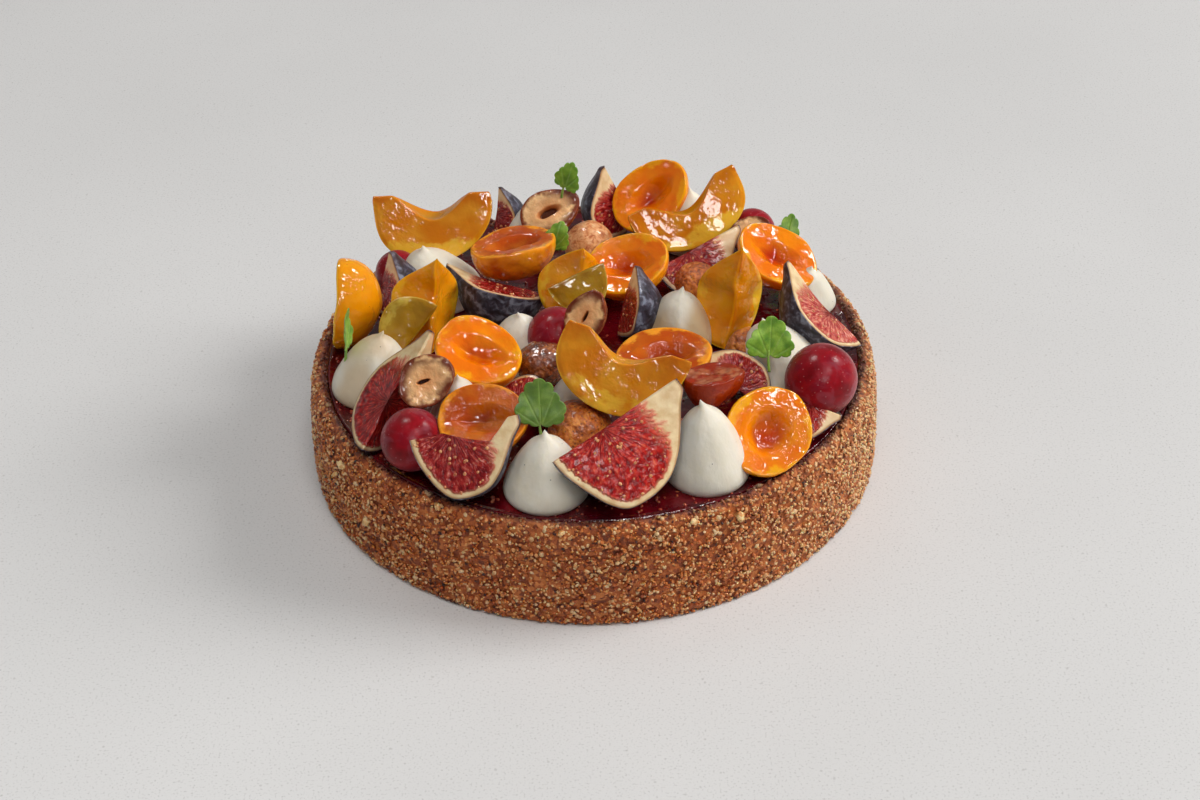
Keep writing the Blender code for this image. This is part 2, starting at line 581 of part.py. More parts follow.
def main():
    """Builds the tart: crust and glaze, then the toppings from the bottom of the pile to its top."""
    for old in list(bpy.data.objects):
        bpy.data.objects.remove(old)
    tart = bpy.data.collections.new("fig_and_plum_tart")
    cutters = bpy.data.collections.new("cutters")
    for made in (tart, cutters):
        bpy.context.scene.collection.children.link(made)

    crumb = new_material("crumb_crust", (0.45, 0.20, 0.08), 0.85)
    berry = new_material("berry_glaze", (0.22, 0.01, 0.02), 0.15)
    cream = new_material("cream", (0.88, 0.84, 0.74), 0.45)
    grape = new_material("grape_skin", (0.25, 0.02, 0.05), 0.35)
    baked = new_material("baked_ball", (0.42, 0.17, 0.04), 0.6)
    fig = new_material("fig", (0.50, 0.08, 0.07), 0.35)
    plum = new_material("plum", (0.85, 0.33, 0.02), 0.2)
    nut = new_material("hazelnut", (0.72, 0.42, 0.22), 0.5)
    leaf = new_material("leaf", (0.15, 0.38, 0.05), 0.5)

    crust = new_object("crust", crust_shape(), crumb, tart)
    new_object("berry_glaze", glaze_shape(), berry, tart)

    floor = (GLAZE_TOP + GAP) * MM
    pile = Pile(floor)
    points = [v.co.copy() for v in crust.data.vertices]
    pile.lay("crust", points, [tuple(p.vertices) for p in crust.data.polygons])
    shapes = {}
    for name, (x, y, radius, height, lean_x, lean_y) in CREAMS.items():
        shape = cream_shape(radius, height, lean_x, lean_y)
        shapes[name] = (shape, cream, (x, y, GLAZE_TOP + GAP), RIGHT, UP)
    for name, (x, y, z, radius) in GRAPES.items():
        shapes[name] = (round_shape(radius, 1.04, 8, 12), grape, (x, y, z), RIGHT, UP)
    for name, (x, y, z, radius) in BALLS.items():
        shapes[name] = (round_shape(radius, 0.86, 7, 12), baked, (x, y, z), RIGHT, UP)
    for name, (x, y, z, along, face, side, length, radius, angle, hollow) in FIGS.items():
        shape = fig_shape(side, length, radius, angle, hollow)
        shapes[name] = (shape, fig, (x, y, z), along, face)
    for name, (x, y, z, along, face, side, length, radius, angle, hollow, sharp) in SLICES.items():
        shape = slice_shape(side, length, radius, angle, hollow, sharp)
        shapes[name] = (shape, plum, (x, y, z), along, face)
    for name, (x, y, z, along, face, length, width, depth, tip) in HALVES.items():
        shape = half_shape(length, width, depth, tip, *PLUM_HOLLOW)
        shapes[name] = (shape, plum, (x, y, z), along, face)
    for name, (x, y, z, along, face, length, width, depth) in NUTS.items():
        shape = half_shape(length, width, depth, NUT_TIP, *NUT_HOLLOW)
        shapes[name] = (shape, nut, (x, y, z), along, face)
    for name, (x, y, z, along, face, length, width) in LEAVES.items():
        shapes[name] = (leaf_shape(length, width), leaf, (x, y, z), along, face)

    creams, firm = [], []
    for seed, name in enumerate(ORDER):
        shape, material, place, along, face = shapes[name]
        if name not in CREAMS:
            warp(shape, seed)
        piece = new_object(name, shape, material, tart)
        piece.rotation_euler = facing(along, face).to_euler()
        piece.location = Vector(place) * MM
        bpy.context.view_layer.update()
        if name in CREAMS:
            radius, height, lean_x, lean_y = CREAMS[name][2:]
            core = cream_shape(CORE_RADIUS * radius, CORE_HEIGHT * height, CORE_RADIUS * lean_x,
                               CORE_RADIUS * lean_y, DOME)
            points = [v.co * MM + piece.location for v in core.verts]
            pile.lay(name, points, [tuple(v.index for v in f.verts) for f in core.faces])
            core.free()
            creams.append(piece)
            continue
        past, sunk, stop = pile.settle(piece)
        print(f"{name} went {past / MM:.1f} mm past its place, met {stop} and sank {sunk / MM:.1f} mm")
        bpy.context.view_layer.update()
        firm.append(piece)

    for kiss in creams:
        press(kiss, firm, cutters)


main()
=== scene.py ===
"""Dresses the fig and plum tart: fine fruit, cream, nuts, leaves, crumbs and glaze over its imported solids.

Points are worked out in millimetres in the tart's own frame: the origin is the centre of the base, +Z is up,
and +X runs to the right of someone who stands in front of it. Each topping is shaped about its own centre,
turned by the way that it points and the way that its cut face looks, and then seated so that its box has the
same centre as the box of the solid that it replaces. What has no solid states its own centre.
"""

import logging
import math
from dataclasses import dataclass, field
from enum import Enum

import bpy
import numpy as np
from mathutils import Matrix, Vector


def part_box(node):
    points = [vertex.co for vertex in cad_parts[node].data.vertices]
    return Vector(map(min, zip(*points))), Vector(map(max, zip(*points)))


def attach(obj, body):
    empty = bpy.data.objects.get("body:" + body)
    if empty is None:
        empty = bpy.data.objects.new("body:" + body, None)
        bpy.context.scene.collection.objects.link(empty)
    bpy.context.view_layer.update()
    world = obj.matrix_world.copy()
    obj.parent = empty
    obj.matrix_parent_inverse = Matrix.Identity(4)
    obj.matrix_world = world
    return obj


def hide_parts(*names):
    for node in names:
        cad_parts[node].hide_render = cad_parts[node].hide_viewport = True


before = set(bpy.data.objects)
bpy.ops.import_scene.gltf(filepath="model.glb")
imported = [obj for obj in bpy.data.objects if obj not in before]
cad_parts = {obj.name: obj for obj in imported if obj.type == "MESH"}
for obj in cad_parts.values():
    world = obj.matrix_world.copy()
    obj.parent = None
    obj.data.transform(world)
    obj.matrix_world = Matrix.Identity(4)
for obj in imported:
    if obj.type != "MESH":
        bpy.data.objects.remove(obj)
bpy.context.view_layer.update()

LOG = logging.getLogger("tart")
BODY = "root"
MM = 0.001
GLAZE_TOP = 30.0

Vec = tuple[float, float, float]
Colour = tuple[int, int, int]
Stops = tuple[tuple[float, Colour], ...]
Soak = tuple[float, Vec, float]
Marks = dict[str, np.ndarray]
Socket = bpy.types.NodeSocket


# Numbers and surfaces


def hashed(cells: np.ndarray, seed: int) -> np.ndarray:
    """Gives every whole-number cell its own value.

    Args:
        cells: (..., 3) whole numbers.
        seed: picks another set of values.

    Returns:
        Values from 0 to 1, found by mixing the bits of the three numbers and the seed.
    """
    x, y, z = np.moveaxis(cells, -1, 0)
    mixed = (x * 73856093 ^ y * 19349663 ^ z * 83492791 ^ (seed + 7) * 668265263) & 0x7FFFFFFF
    mixed = (mixed ^ (mixed >> 13)) * 1274126177 & 0x7FFFFFFF
    return ((mixed ^ (mixed >> 16)) % 65536) / 65535.0


def lumps(points: np.ndarray, size: float, seed: int = 0) -> np.ndarray:
    """Smooth random values in space.

    The space is cut into cubes, each corner of a cube has a hashed value, and a point takes the mean of its
    eight corners, weighted by how near it is to each along a smooth step.

    Args:
        points: (..., 3) points in millimetres.
        size: the side of a cube.
        seed: picks another pattern.

    Returns:
        Values from -1 to 1.
    """
    scaled = points / size
    base = np.floor(scaled).astype(np.int64)
    share = scaled - base
    share = share * share * (3.0 - 2.0 * share)
    total = np.zeros(points.shape[:-1])
    for corner in np.ndindex(2, 2, 2):
        weight = np.prod(np.where(corner, share, 1.0 - share), axis=-1)
        total += weight * hashed(base + np.array(corner), seed)
    return 2.0 * total - 1.0


def step(values: np.ndarray, low: float, high: float) -> np.ndarray:
    """A smooth step from 0 at low to 1 at high."""
    share = np.clip((values - low) / (high - low), 0.0, 1.0)
    return share * share * (3.0 - 2.0 * share)


def stacked(*parts: np.ndarray | float) -> np.ndarray:
    """The parts side by side along a new last axis, spread to one shape."""
    return np.stack(np.broadcast_arrays(*parts), axis=-1)


def unit(vectors: np.ndarray) -> np.ndarray:
    """The vectors at a length of one."""
    return vectors / np.linalg.norm(vectors, axis=-1, keepdims=True)


def run_along(line: np.ndarray) -> np.ndarray:
    """How far along the line each of its points is."""
    return np.concatenate([[0.0], np.cumsum(np.linalg.norm(np.diff(line, axis=0), axis=1))])


def chain(knots: tuple[tuple[float, float], ...], count: int) -> np.ndarray:
    """A smooth chain of evenly spaced points through the knots.

    Each span between two knots is a cubic. Its slopes at the knots come from the spans on both sides, each
    weighted by the square root of its length, so that uneven knots make no loops.

    Args:
        knots: the points to pass through.
        count: how many points to return.

    Returns:
        (count, 2) points.
    """
    given = np.asarray(knots, float)
    padded = np.vstack([2.0 * given[0] - given[1], given, 2.0 * given[-1] - given[-2]])
    gap = np.sqrt(np.linalg.norm(np.diff(padded, axis=0), axis=1) + 1e-9)[:, None]
    p0, p1, p2, p3 = (padded[i : len(given) - 1 + i] for i in range(4))
    d0, d1, d2 = gap[:-2], gap[1:-1], gap[2:]
    start = d1 * ((p1 - p0) / d0 - (p2 - p0) / (d0 + d1) + (p2 - p1) / d1)
    end = d1 * ((p2 - p1) / d1 - (p3 - p1) / (d1 + d2) + (p3 - p2) / d2)
    t = np.linspace(0.0, 1.0, 24, endpoint=False)[None, :, None]
    p1, p2, start, end = (a[:, None, :] for a in (p1, p2, start, end))
    dense = (2 * t**3 - 3 * t**2 + 1) * p1 + (t**3 - 2 * t**2 + t) * start
    dense = dense + (3 * t**2 - 2 * t**3) * p2 + (t**3 - t**2) * end
    dense = np.vstack([dense.reshape(-1, 2), given[-1:]])
    run = run_along(dense)
    at = np.linspace(0.0, run[-1], count)
    return stacked(*(np.interp(at, run, dense[:, i]) for i in range(2)))


def facing(along: Vec, face: Vec) -> np.ndarray:
    """The turn that takes local X to the way along and local Z to the way the cut face looks, as columns."""
    z = unit(np.array(face))
    x = unit(np.array(along) - z * np.dot(along, z))
    return stacked(x, np.cross(z, x), z)


def tumbled(rng: np.random.Generator, normals: np.ndarray, lean: float) -> np.ndarray:
    """Turns that set local Z near each normal, with a random spin about it.

    Args:
        rng: the source of the random draws.
        normals: (n, 3) unit normals.
        lean: how far local Z may lean away, as a share of the normal's length.

    Returns:
        (n, 3, 3) matrices.
    """
    z = unit(normals + lean * rng.normal(size=normals.shape))
    x = unit(np.cross(z, rng.normal(size=normals.shape)))
    return stacked(x, np.cross(z, x), z)


@dataclass
class Surface:
    """A mesh in millimetres before it becomes a Blender object.

    Attributes:
        points: (n, 3) its points.
        quads: (m, 4) its four-sided faces.
        tris: (k, 3) its three-sided faces.
        marks: values that the finish reads, by name, each (n, 3).
    """

    points: np.ndarray
    quads: np.ndarray
    tris: np.ndarray
    marks: Marks = field(default_factory=dict)

    def turned(self, turn: np.ndarray, shift: np.ndarray) -> "Surface":
        """The same surface turned by a 3 by 3 matrix and then shifted."""
        return Surface(self.points @ turn.T + shift, self.quads, self.tris, self.marks)

    def middle(self) -> np.ndarray:
        """The centre of the surface's box."""
        return (self.points.min(axis=0) + self.points.max(axis=0)) / 2.0

    def outward(self) -> "Surface":
        """The same closed surface with its faces turned outwards, told by the sign of the volume it holds."""
        halves = [self.tris, self.quads[:, :3], self.quads[:, [0, 2, 3]]]
        a, b, c = (self.points[np.concatenate([h[:, i] for h in halves])] for i in range(3))
        if np.einsum("ij,ij->", a, np.cross(b, c)) < 0.0:
            return Surface(self.points, self.quads[:, ::-1], self.tris[:, ::-1], self.marks)
        return self

    def piece(self, name: str, finish: "Finish", nodes: tuple[str, ...] = (), flat: bool = False) -> None:
        """Makes the Blender object, dresses it, parents it to the body's empty and hides what it replaces.

        Args:
            name: the piece's name.
            finish: the finish that it wears.
            nodes: the solids that it replaces.
            flat: whether its faces stay flat, as on crystals and crumbs.
        """
        mesh = bpy.data.meshes.new(name)
        mesh.vertices.add(len(self.points))
        mesh.vertices.foreach_set("co", (self.points * MM).ravel())
        corners = np.concatenate([self.quads.ravel(), self.tris.ravel()]).astype(np.int32)
        sizes = np.repeat([4, 3], [len(self.quads), len(self.tris)])
        mesh.loops.add(len(corners))
        mesh.loops.foreach_set("vertex_index", corners)
        mesh.polygons.add(len(sizes))
        mesh.polygons.foreach_set("loop_start", (np.cumsum(sizes) - sizes).astype(np.int32))
        mesh.update(calc_edges=True)
        mesh.validate()
        for mark, values in self.marks.items():
            layer = mesh.attributes.new(mark, "FLOAT_VECTOR", "POINT")
            layer.data.foreach_set("vector", values.astype(np.float32).ravel())
        if not flat:
            mesh.shade_smooth()
        mesh.materials.append(finish.material())
        piece = bpy.data.objects.new(name, mesh)
        bpy.context.scene.collection.objects.link(piece)
        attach(piece, BODY)
        if nodes:
            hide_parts(*nodes)
        LOG.info("%s: %d triangles", name, 2 * len(self.quads) + len(self.tris))


def capped(rings: np.ndarray, ends: np.ndarray | None = None) -> np.ndarray:
    """Lays rings of values out as rows.

    Args:
        rings: (rows, columns, 3) values; each row closes on itself.
        ends: (2, 3) values at the points that close the outer rings, or None for the mean of each outer ring.

    Returns:
        Ring after ring, with the two ends last.
    """
    ends = rings[[0, -1]].mean(axis=1) if ends is None else ends
    return np.concatenate([rings.reshape(-1, 3), ends])


def shell(points: np.ndarray, columns: int, marks: Marks | None = None) -> Surface:
    """Joins rings of points into a closed surface.

    Neighbouring rings are joined by quads, and the first and last ring are closed by a fan about one point
    each.

    Args:
        points: ring after ring, with the two ends last.
        columns: how many points a ring has.
        marks: values at the points, by name, in the same order.

    Returns:
        The surface, with its faces outwards.
    """
    index = np.arange(len(points) - 2).reshape(-1, columns)
    across = np.roll(index, -1, axis=1)
    quads = stacked(index[:-1], across[:-1], across[1:], index[1:]).reshape(-1, 4)
    fans = [stacked(index.size, across[0], index[0]), stacked(index.size + 1, index[-1], across[-1])]
    return Surface(points, quads, np.concatenate(fans), marks or {}).outward()


def spun(profile: np.ndarray, columns: int) -> np.ndarray:
    """Carries a profile round the Z axis.

    A point at radius r and height z goes to (r cos a, r sin a, z) for every heading a. The first and last
    points of the profile lie on the axis and close the ends.

    Args:
        profile: (n, 2) points of radius and height.
        columns: how many headings.

    Returns:
        Ring after ring, with the two ends last.
    """
    heading = np.linspace(0.0, math.tau, columns, endpoint=False)
    radius, height = profile[1:-1, :1], profile[1:-1, 1:]
    ends = stacked(0.0, 0.0, profile[[0, -1], 1])
    return capped(stacked(radius * np.cos(heading), radius * np.sin(heading), height), ends)


def globe(tall: float, rows: int, columns: int) -> np.ndarray:
    """Unit points of a ball made taller or flatter: rings at even latitudes, and the two poles last."""
    angle = np.linspace(0.0, math.pi, rows + 2)
    return spun(stacked(np.sin(angle), -np.cos(angle) * tall), columns)


def bead(rows: int, columns: int) -> Surface:
    """A ball one millimetre across."""
    return shell(0.5 * globe(1.0, rows, columns), columns)


def shard(seed: int) -> Surface:
    """A broken grain about one millimetre across: three uneven rings of a few points."""
    columns = 5
    points = spun(np.array([[0.0, -0.5], [0.42, -0.34], [0.52, 0.04], [0.36, 0.36], [0.0, 0.5]]), columns)
    points[:-2] += np.random.default_rng(seed).uniform(-0.11, 0.11, size=(3 * columns, 3))
    return shell(points, columns)


def joined(parts: list[Surface]) -> Surface:
    """Several surfaces as one; they all carry the same marks."""
    offsets = np.cumsum([0] + [len(p.points) for p in parts[:-1]])
    faces = (
        np.concatenate([getattr(p, kind) + o for p, o in zip(parts, offsets)]) for kind in ("quads", "tris")
    )
    marks = {name: np.concatenate([p.marks[name] for p in parts]) for name in parts[0].marks}
    return Surface(np.concatenate([p.points for p in parts]), *faces, marks)


def scattered(form: Surface, turns: np.ndarray, sizes: np.ndarray, places: np.ndarray) -> Surface:
    """Repeats a small form.

    Args:
        form: the form, about one millimetre across.
        turns: (n, 3, 3) how each copy is turned.
        sizes: (n, 3) how each copy is stretched along its own axes.
        places: (n, 3) where each copy goes.

    Returns:
        One surface that holds all the copies.
    """
    points = np.einsum("nij,nvj->nvi", turns, form.points[None] * sizes[:, None]) + places[:, None]
    offset = (np.arange(len(places)) * len(form.points))[:, None, None]
    quads, tris = form.quads + offset, form.tris + offset
    return Surface(points.reshape(-1, 3), quads.reshape(-1, 4), tris.reshape(-1, 3))


# Finishes


def linear(colour: Colour) -> tuple[float, float, float, float]:
    """A screen colour of three bytes as the linear colour that shaders use."""
    parts = [((c / 255 + 0.055) / 1.055) ** 2.4 if c > 10 else c / 255 / 12.92 for c in colour]
    return (parts[0], parts[1], parts[2], 1.0)


@dataclass(frozen=True)
class Field:
    """A value that varies over a piece, which can be added, taken away and multiplied.

    Attributes:
        graph: the material under way.
        socket: the output that gives the value.
    """

    graph: "Graph"
    socket: Socket

    def __add__(self, other: "Value") -> "Field":
        """The sum."""
        return self.graph.math("ADD", self, other)

    def __mul__(self, other: "Value") -> "Field":
        """The product."""
        return self.graph.math("MULTIPLY", self, other)

    def __sub__(self, other: "Value") -> "Field":
        """This value less the other."""
        return self.graph.math("SUBTRACT", self, other)

    def __rsub__(self, other: "Value") -> "Field":
        """The other less this value."""
        return self.graph.math("SUBTRACT", other, self)


Value = float | tuple[float, ...] | Field


class Graph:
    """A material's node tree, built from small steps. Sizes are in millimetres."""

    def __init__(self, name: str) -> None:
        """Starts a material with one Principled shader, and finds the point on the piece, in metres."""
        self.made = bpy.data.materials.new(name)
        self.made.use_nodes = True
        self.nodes = self.made.node_tree.nodes
        self.place = self.add("TexCoord", "Object", {})

    def feed(self, socket: Socket, value: Value) -> None:
        """Joins the value to the socket when it is a field, or else sets it."""
        if isinstance(value, Field):
            self.made.node_tree.links.new(value.socket, socket)
        else:
            socket.default_value = value

    def add(self, kind: str, outlet: str | int, inputs: dict[str | int, Value], **settings: object) -> Field:
        """Adds a node.

        Args:
            kind: the node's type, without its usual beginning.
            outlet: the output that the next step reads.
            inputs: what goes into it.
            settings: the node's own options.

        Returns:
            What the output gives.
        """
        node = self.nodes.new("ShaderNode" + kind)
        for name, value in settings.items():
            setattr(node, name, value)
        for name, value in inputs.items():
            self.feed(node.inputs[name], value)
        return Field(self, node.outputs[outlet])

    def mark(self, name: str) -> Field:
        """One of the piece's marks."""
        return self.add("Attribute", "Vector", {}, attribute_name=name)

    def parts(self, vector: Field) -> list[Field]:
        """The three parts of a vector."""
        node = self.add("SeparateXYZ", 0, {0: vector}).socket.node
        return [Field(self, outlet) for outlet in node.outputs]

    def vector(self, *parts: Value) -> Field:
        """A vector of three parts."""
        return self.add("CombineXYZ", "Vector", dict(enumerate(parts)))

    def noise(self, size: float, detail: float = 2.0, at: Field | None = None, bend: float = 0.0) -> Field:
        """Cloudy values about 0.5, with clouds of the given size in millimetres, or in the units of at."""
        scale = 1.0 / (size * (MM if at is None else 1.0))
        inputs = {"Vector": at or self.place, "Scale": scale, "Detail": detail, "Distortion": bend}
        return self.add("TexNoise", "Fac", inputs)

    def cells(self, size: float, outlet: str = "Distance", feature: str = "F1") -> Field:
        """Random cells of the given size: the distance to their middle or edge, or their own colour."""
        inputs = {"Vector": self.place, "Scale": 1.0 / (size * MM)}
        return self.add("TexVoronoi", outlet, inputs, feature=feature)

    def math(self, operation: str, a: Value, b: Value = 0.0) -> Field:
        """One step of arithmetic."""
        return self.add("Math", 0, {0: a, 1: b}, operation=operation)

    def ease(self, value: Value, low: float, high: float, start: float = 0.0, end: float = 1.0) -> Field:
        """A smooth step from start at low to end at high."""
        inputs = {"Value": value, "From Min": low, "From Max": high, "To Min": start, "To Max": end}
        return self.add("MapRange", "Result", inputs, interpolation_type="SMOOTHSTEP")

    def ramp(self, factor: Value, stops: Stops) -> Field:
        """A colour that runs through the stops."""
        made = self.add("ValToRGB", "Color", {"Fac": factor})
        bar = made.socket.node.color_ramp
        while len(bar.elements) < len(stops):
            bar.elements.new(0.5)
        for element, (place, colour) in zip(bar.elements, stops):
            element.position = place
            element.color = linear(colour)
        return made

    def mix(self, factor: Value, a: Field, b: Field | Colour) -> Field:
        """Two colours blended by the factor."""
        second = linear(b) if isinstance(b, tuple) else b
        return self.add("Mix", 2, {0: factor, 6: a, 7: second}, data_type="RGBA", blend_type="MIX")

    def bump(self, height: Value, depth: float, over: Field | None = None) -> Field:
        """Small relief of the given depth, laid over another relief where one is given."""
        inputs = {"Height": height, "Distance": depth * MM, "Strength": 1.0}
        return self.add("Bump", "Normal", inputs if over is None else {**inputs, "Normal": over})

    def finish(
        self, colour: Value, rough: Value, relief: Field | None = None,
        soak: Soak = (0.0, (1.0, 1.0, 1.0), 1.0), **others: Value,
    ) -> bpy.types.Material:
        """Feeds the shader.

        Args:
            colour: the base colour.
            rough: the roughness.
            relief: the normals, or None where the mesh's own will do.
            soak: how much light soaks in, how far each colour of it goes, and how many millimetres 1 stands
                for.
            others: more of the shader's sockets, named with underscores for spaces.

        Returns:
            The finished material.
        """
        weight, reach, scale = soak
        sockets = {
            "Base_Color": colour, "Roughness": rough, "Subsurface_Weight": weight,
            "Subsurface_Radius": reach, "Subsurface_Scale": scale * MM, **others,
        }
        if relief is not None:
            sockets["Normal"] = relief
        for name, value in sockets.items():
            self.feed(self.nodes["Principled BSDF"].inputs[name.replace("_", " ")], value)
        return self.made


class Finish:
    """A finish that is made once and then shared."""

    slot = ""
    made: dict["Finish", bpy.types.Material] = {}

    def material(self) -> bpy.types.Material:
        """The finish's material, made on first use."""
        if self not in Finish.made:
            Finish.made[self] = self.build()
        return Finish.made[self]

    def build(self) -> bpy.types.Material:
        """Makes the material."""
        raise NotImplementedError


@dataclass(frozen=True)
class CrumbFinish(Finish):
    """Baked crumb and the grains that stick to it.

    Attributes:
        stops: the colours that the grains run through.
        glow: how much light soaks into a grain.
        shine: the roughness.
        pale: how much painted light pales it towards +X, the side that the key lamp lights.
    """

    stops: Stops
    glow: float = 0.0
    shine: float = 0.6
    pale: float = 0.06
    slot = "crumb_crust"

    def build(self) -> bpy.types.Material:
        """Gives each small cell its own colour, and stains what is near the glaze, which soaks into it."""
        graph = Graph("crumb")
        tone = graph.parts(graph.cells(1.1, "Color"))[0] * 0.75 + graph.noise(9.0, 3.0) * 0.3
        x, y, z = graph.parts(graph.place)
        # Painted light: the colour pales towards +X, the side that the key lamp lights.
        painted_key_light = graph.ease(x, 0.02, 0.078, 0.0, self.pale)
        colour = graph.mix(painted_key_light, graph.ramp(tone, self.stops), (250, 214, 160))
        ragged = graph.math("SQRT", x * x + y * y) + graph.noise(4.0, 4.0) * 0.004
        juice = graph.ease(ragged, 0.0796, 0.0772) * graph.ease(z, 0.0285, 0.0305) * 0.85
        relief = graph.bump(graph.noise(0.35, 4.0), 0.25)
        soak = (self.glow, (1.0, 0.45, 0.2), 1.2)
        return graph.finish(graph.mix(juice, colour, (70, 8, 16)), self.shine, relief, soak)


@dataclass(frozen=True)
class GlazeFinish(Finish):
    """Set berry glaze: deep crimson, wet and a little uneven."""

    slot = "berry_glaze"

    def build(self) -> bpy.types.Material:
        """Darkens the glaze in soft clouds and ripples its surface."""
        graph = Graph("berry_glaze")
        cloud = graph.noise(7.0, 4.0)
        colour = graph.ramp(cloud, ((0.3, (52, 2, 9)), (0.55, (92, 4, 16)), (0.8, (128, 10, 24))))
        ripple = graph.bump(graph.noise(3.5, 3.0), 0.5)
        relief = graph.bump(graph.noise(0.8, 2.0), 0.08, ripple)
        return graph.finish(
            colour, 0.12, relief, (0.15, (1.0, 0.1, 0.1), 2.0), Coat_Weight=0.6, Coat_Roughness=0.04,
            Coat_Normal=ripple,
        )


@dataclass(frozen=True)
class SeedFinish(Finish):
    """Small pale seeds, of the figs or in the glaze.

    Attributes:
        stops: the colours that the seeds run through.
        slot: the slot of what they sit in; not used, except to tell the finishes apart.
    """

    stops: Stops
    slot: str

    def build(self) -> bpy.types.Material:
        """Gives the seeds an uneven tan."""
        graph = Graph("seeds")
        colour, soak = graph.ramp(graph.noise(0.9, 2.0), self.stops), (0.3, (1.0, 0.6, 0.3), 0.6)
        return graph.finish(colour, 0.3, None, soak, Coat_Weight=0.4, Coat_Roughness=0.05)


@dataclass(frozen=True)
class CreamFinish(Finish):
    """Whipped ivory cream with a soft sheen and a few dark vanilla specks.

    Attributes:
        tint: how much painted reflection and shade shows, in soft beige patches.
    """

    tint: float
    slot = "cream"

    def build(self) -> bpy.types.Material:
        """Clouds the ivory slightly and drags faint lines round it, as the nozzle leaves them."""
        graph = Graph("cream")
        pale = graph.ramp(graph.noise(9.0, 2.0), ((0.3, (224, 216, 198)), (0.7, (233, 228, 214))))
        # Painted light: soft beige patches stand in for warm light reflected from the fruit and for shade on
        # the cream.
        pale = graph.mix(graph.ease(graph.noise(14.0, 1.0), 0.35, 0.65) * self.tint, pale, (200, 170, 126))
        colour = graph.mix(graph.ease(graph.cells(3.4), 0.062, 0.03) * 0.8, pale, (60, 45, 35))
        x, y, z = graph.parts(graph.place)
        lines = graph.noise(0.0011, 3.0, graph.vector(x, y, z * 0.25))
        relief = graph.bump(lines, 0.10, graph.bump(graph.noise(3.0, 2.0), 0.18))
        return graph.finish(colour, 0.42, relief, (0.45, (1.0, 0.85, 0.6), 2.5))


@dataclass(frozen=True)
class GrapeFinish(Finish):
    """Dark red grape skin under a patchy pale bloom."""

    slot = "grape_skin"

    def build(self) -> bpy.types.Material:
        """Runs from wine red to purple and dusts it with bloom."""
        graph = Graph("grape_skin")
        cloud = graph.noise(8.0, 3.0)
        skin = graph.ramp(cloud, ((0.32, (112, 5, 14)), (0.5, (148, 12, 26)), (0.7, (118, 12, 34))))
        dust = graph.ease(graph.noise(5.0, 5.0, bend=0.6), 0.46, 0.72, 0.0, 0.28)
        speck = graph.ease(graph.cells(1.6), 0.16, 0.08, 0.0, 0.45)
        colour = graph.mix(speck, graph.mix(dust, skin, (160, 92, 108)), (190, 130, 130))
        relief = graph.bump(graph.noise(0.9, 2.0), 0.05)
        return graph.finish(
            colour, dust * 0.7 + 0.22, relief, (0.2, (1.0, 0.15, 0.2), 2.0), Specular_IOR_Level=0.12,
            Sheen_Weight=0.1, Sheen_Roughness=0.5,
        )


@dataclass(frozen=True)
class BallFinish(Finish):
    """A baked sponge ball.

    Attributes:
        glazed: whether it wears a dark, wet caramel glaze.
    """

    glazed: bool
    slot = "baked_ball"

    PLAIN = ((0.34, (120, 50, 8)), (0.5, (190, 98, 26)), (0.64, (222, 142, 52)))
    DARK = ((0.34, (60, 20, 6)), (0.5, (122, 56, 20)), (0.66, (176, 104, 52)))

    def build(self) -> bpy.types.Material:
        """Mottles the crumb, opens pores in it and paints shade into them."""
        graph = Graph("baked_ball")
        tone = graph.noise(4.0, 4.0) * 0.6 + graph.noise(0.8, 3.0) * 0.4
        stops, rough, coat = (self.DARK, 0.25, 0.9) if self.glazed else (self.PLAIN, 0.55, 0.12)
        pores = graph.cells(1.3)
        # Painted shade: the colour darkens towards the middle of each pore, where the relief sinks.
        colour = graph.mix(graph.ease(pores, 0.30, 0.12, 0.0, 0.7), graph.ramp(tone, stops), (84, 34, 10))
        relief = graph.bump(pores, 0.35, graph.bump(graph.noise(0.5, 3.0), 0.2))
        soak = (0.15, (1.0, 0.5, 0.2), 1.5)
        return graph.finish(colour, rough, relief, soak, Coat_Weight=coat, Coat_Roughness=0.08)


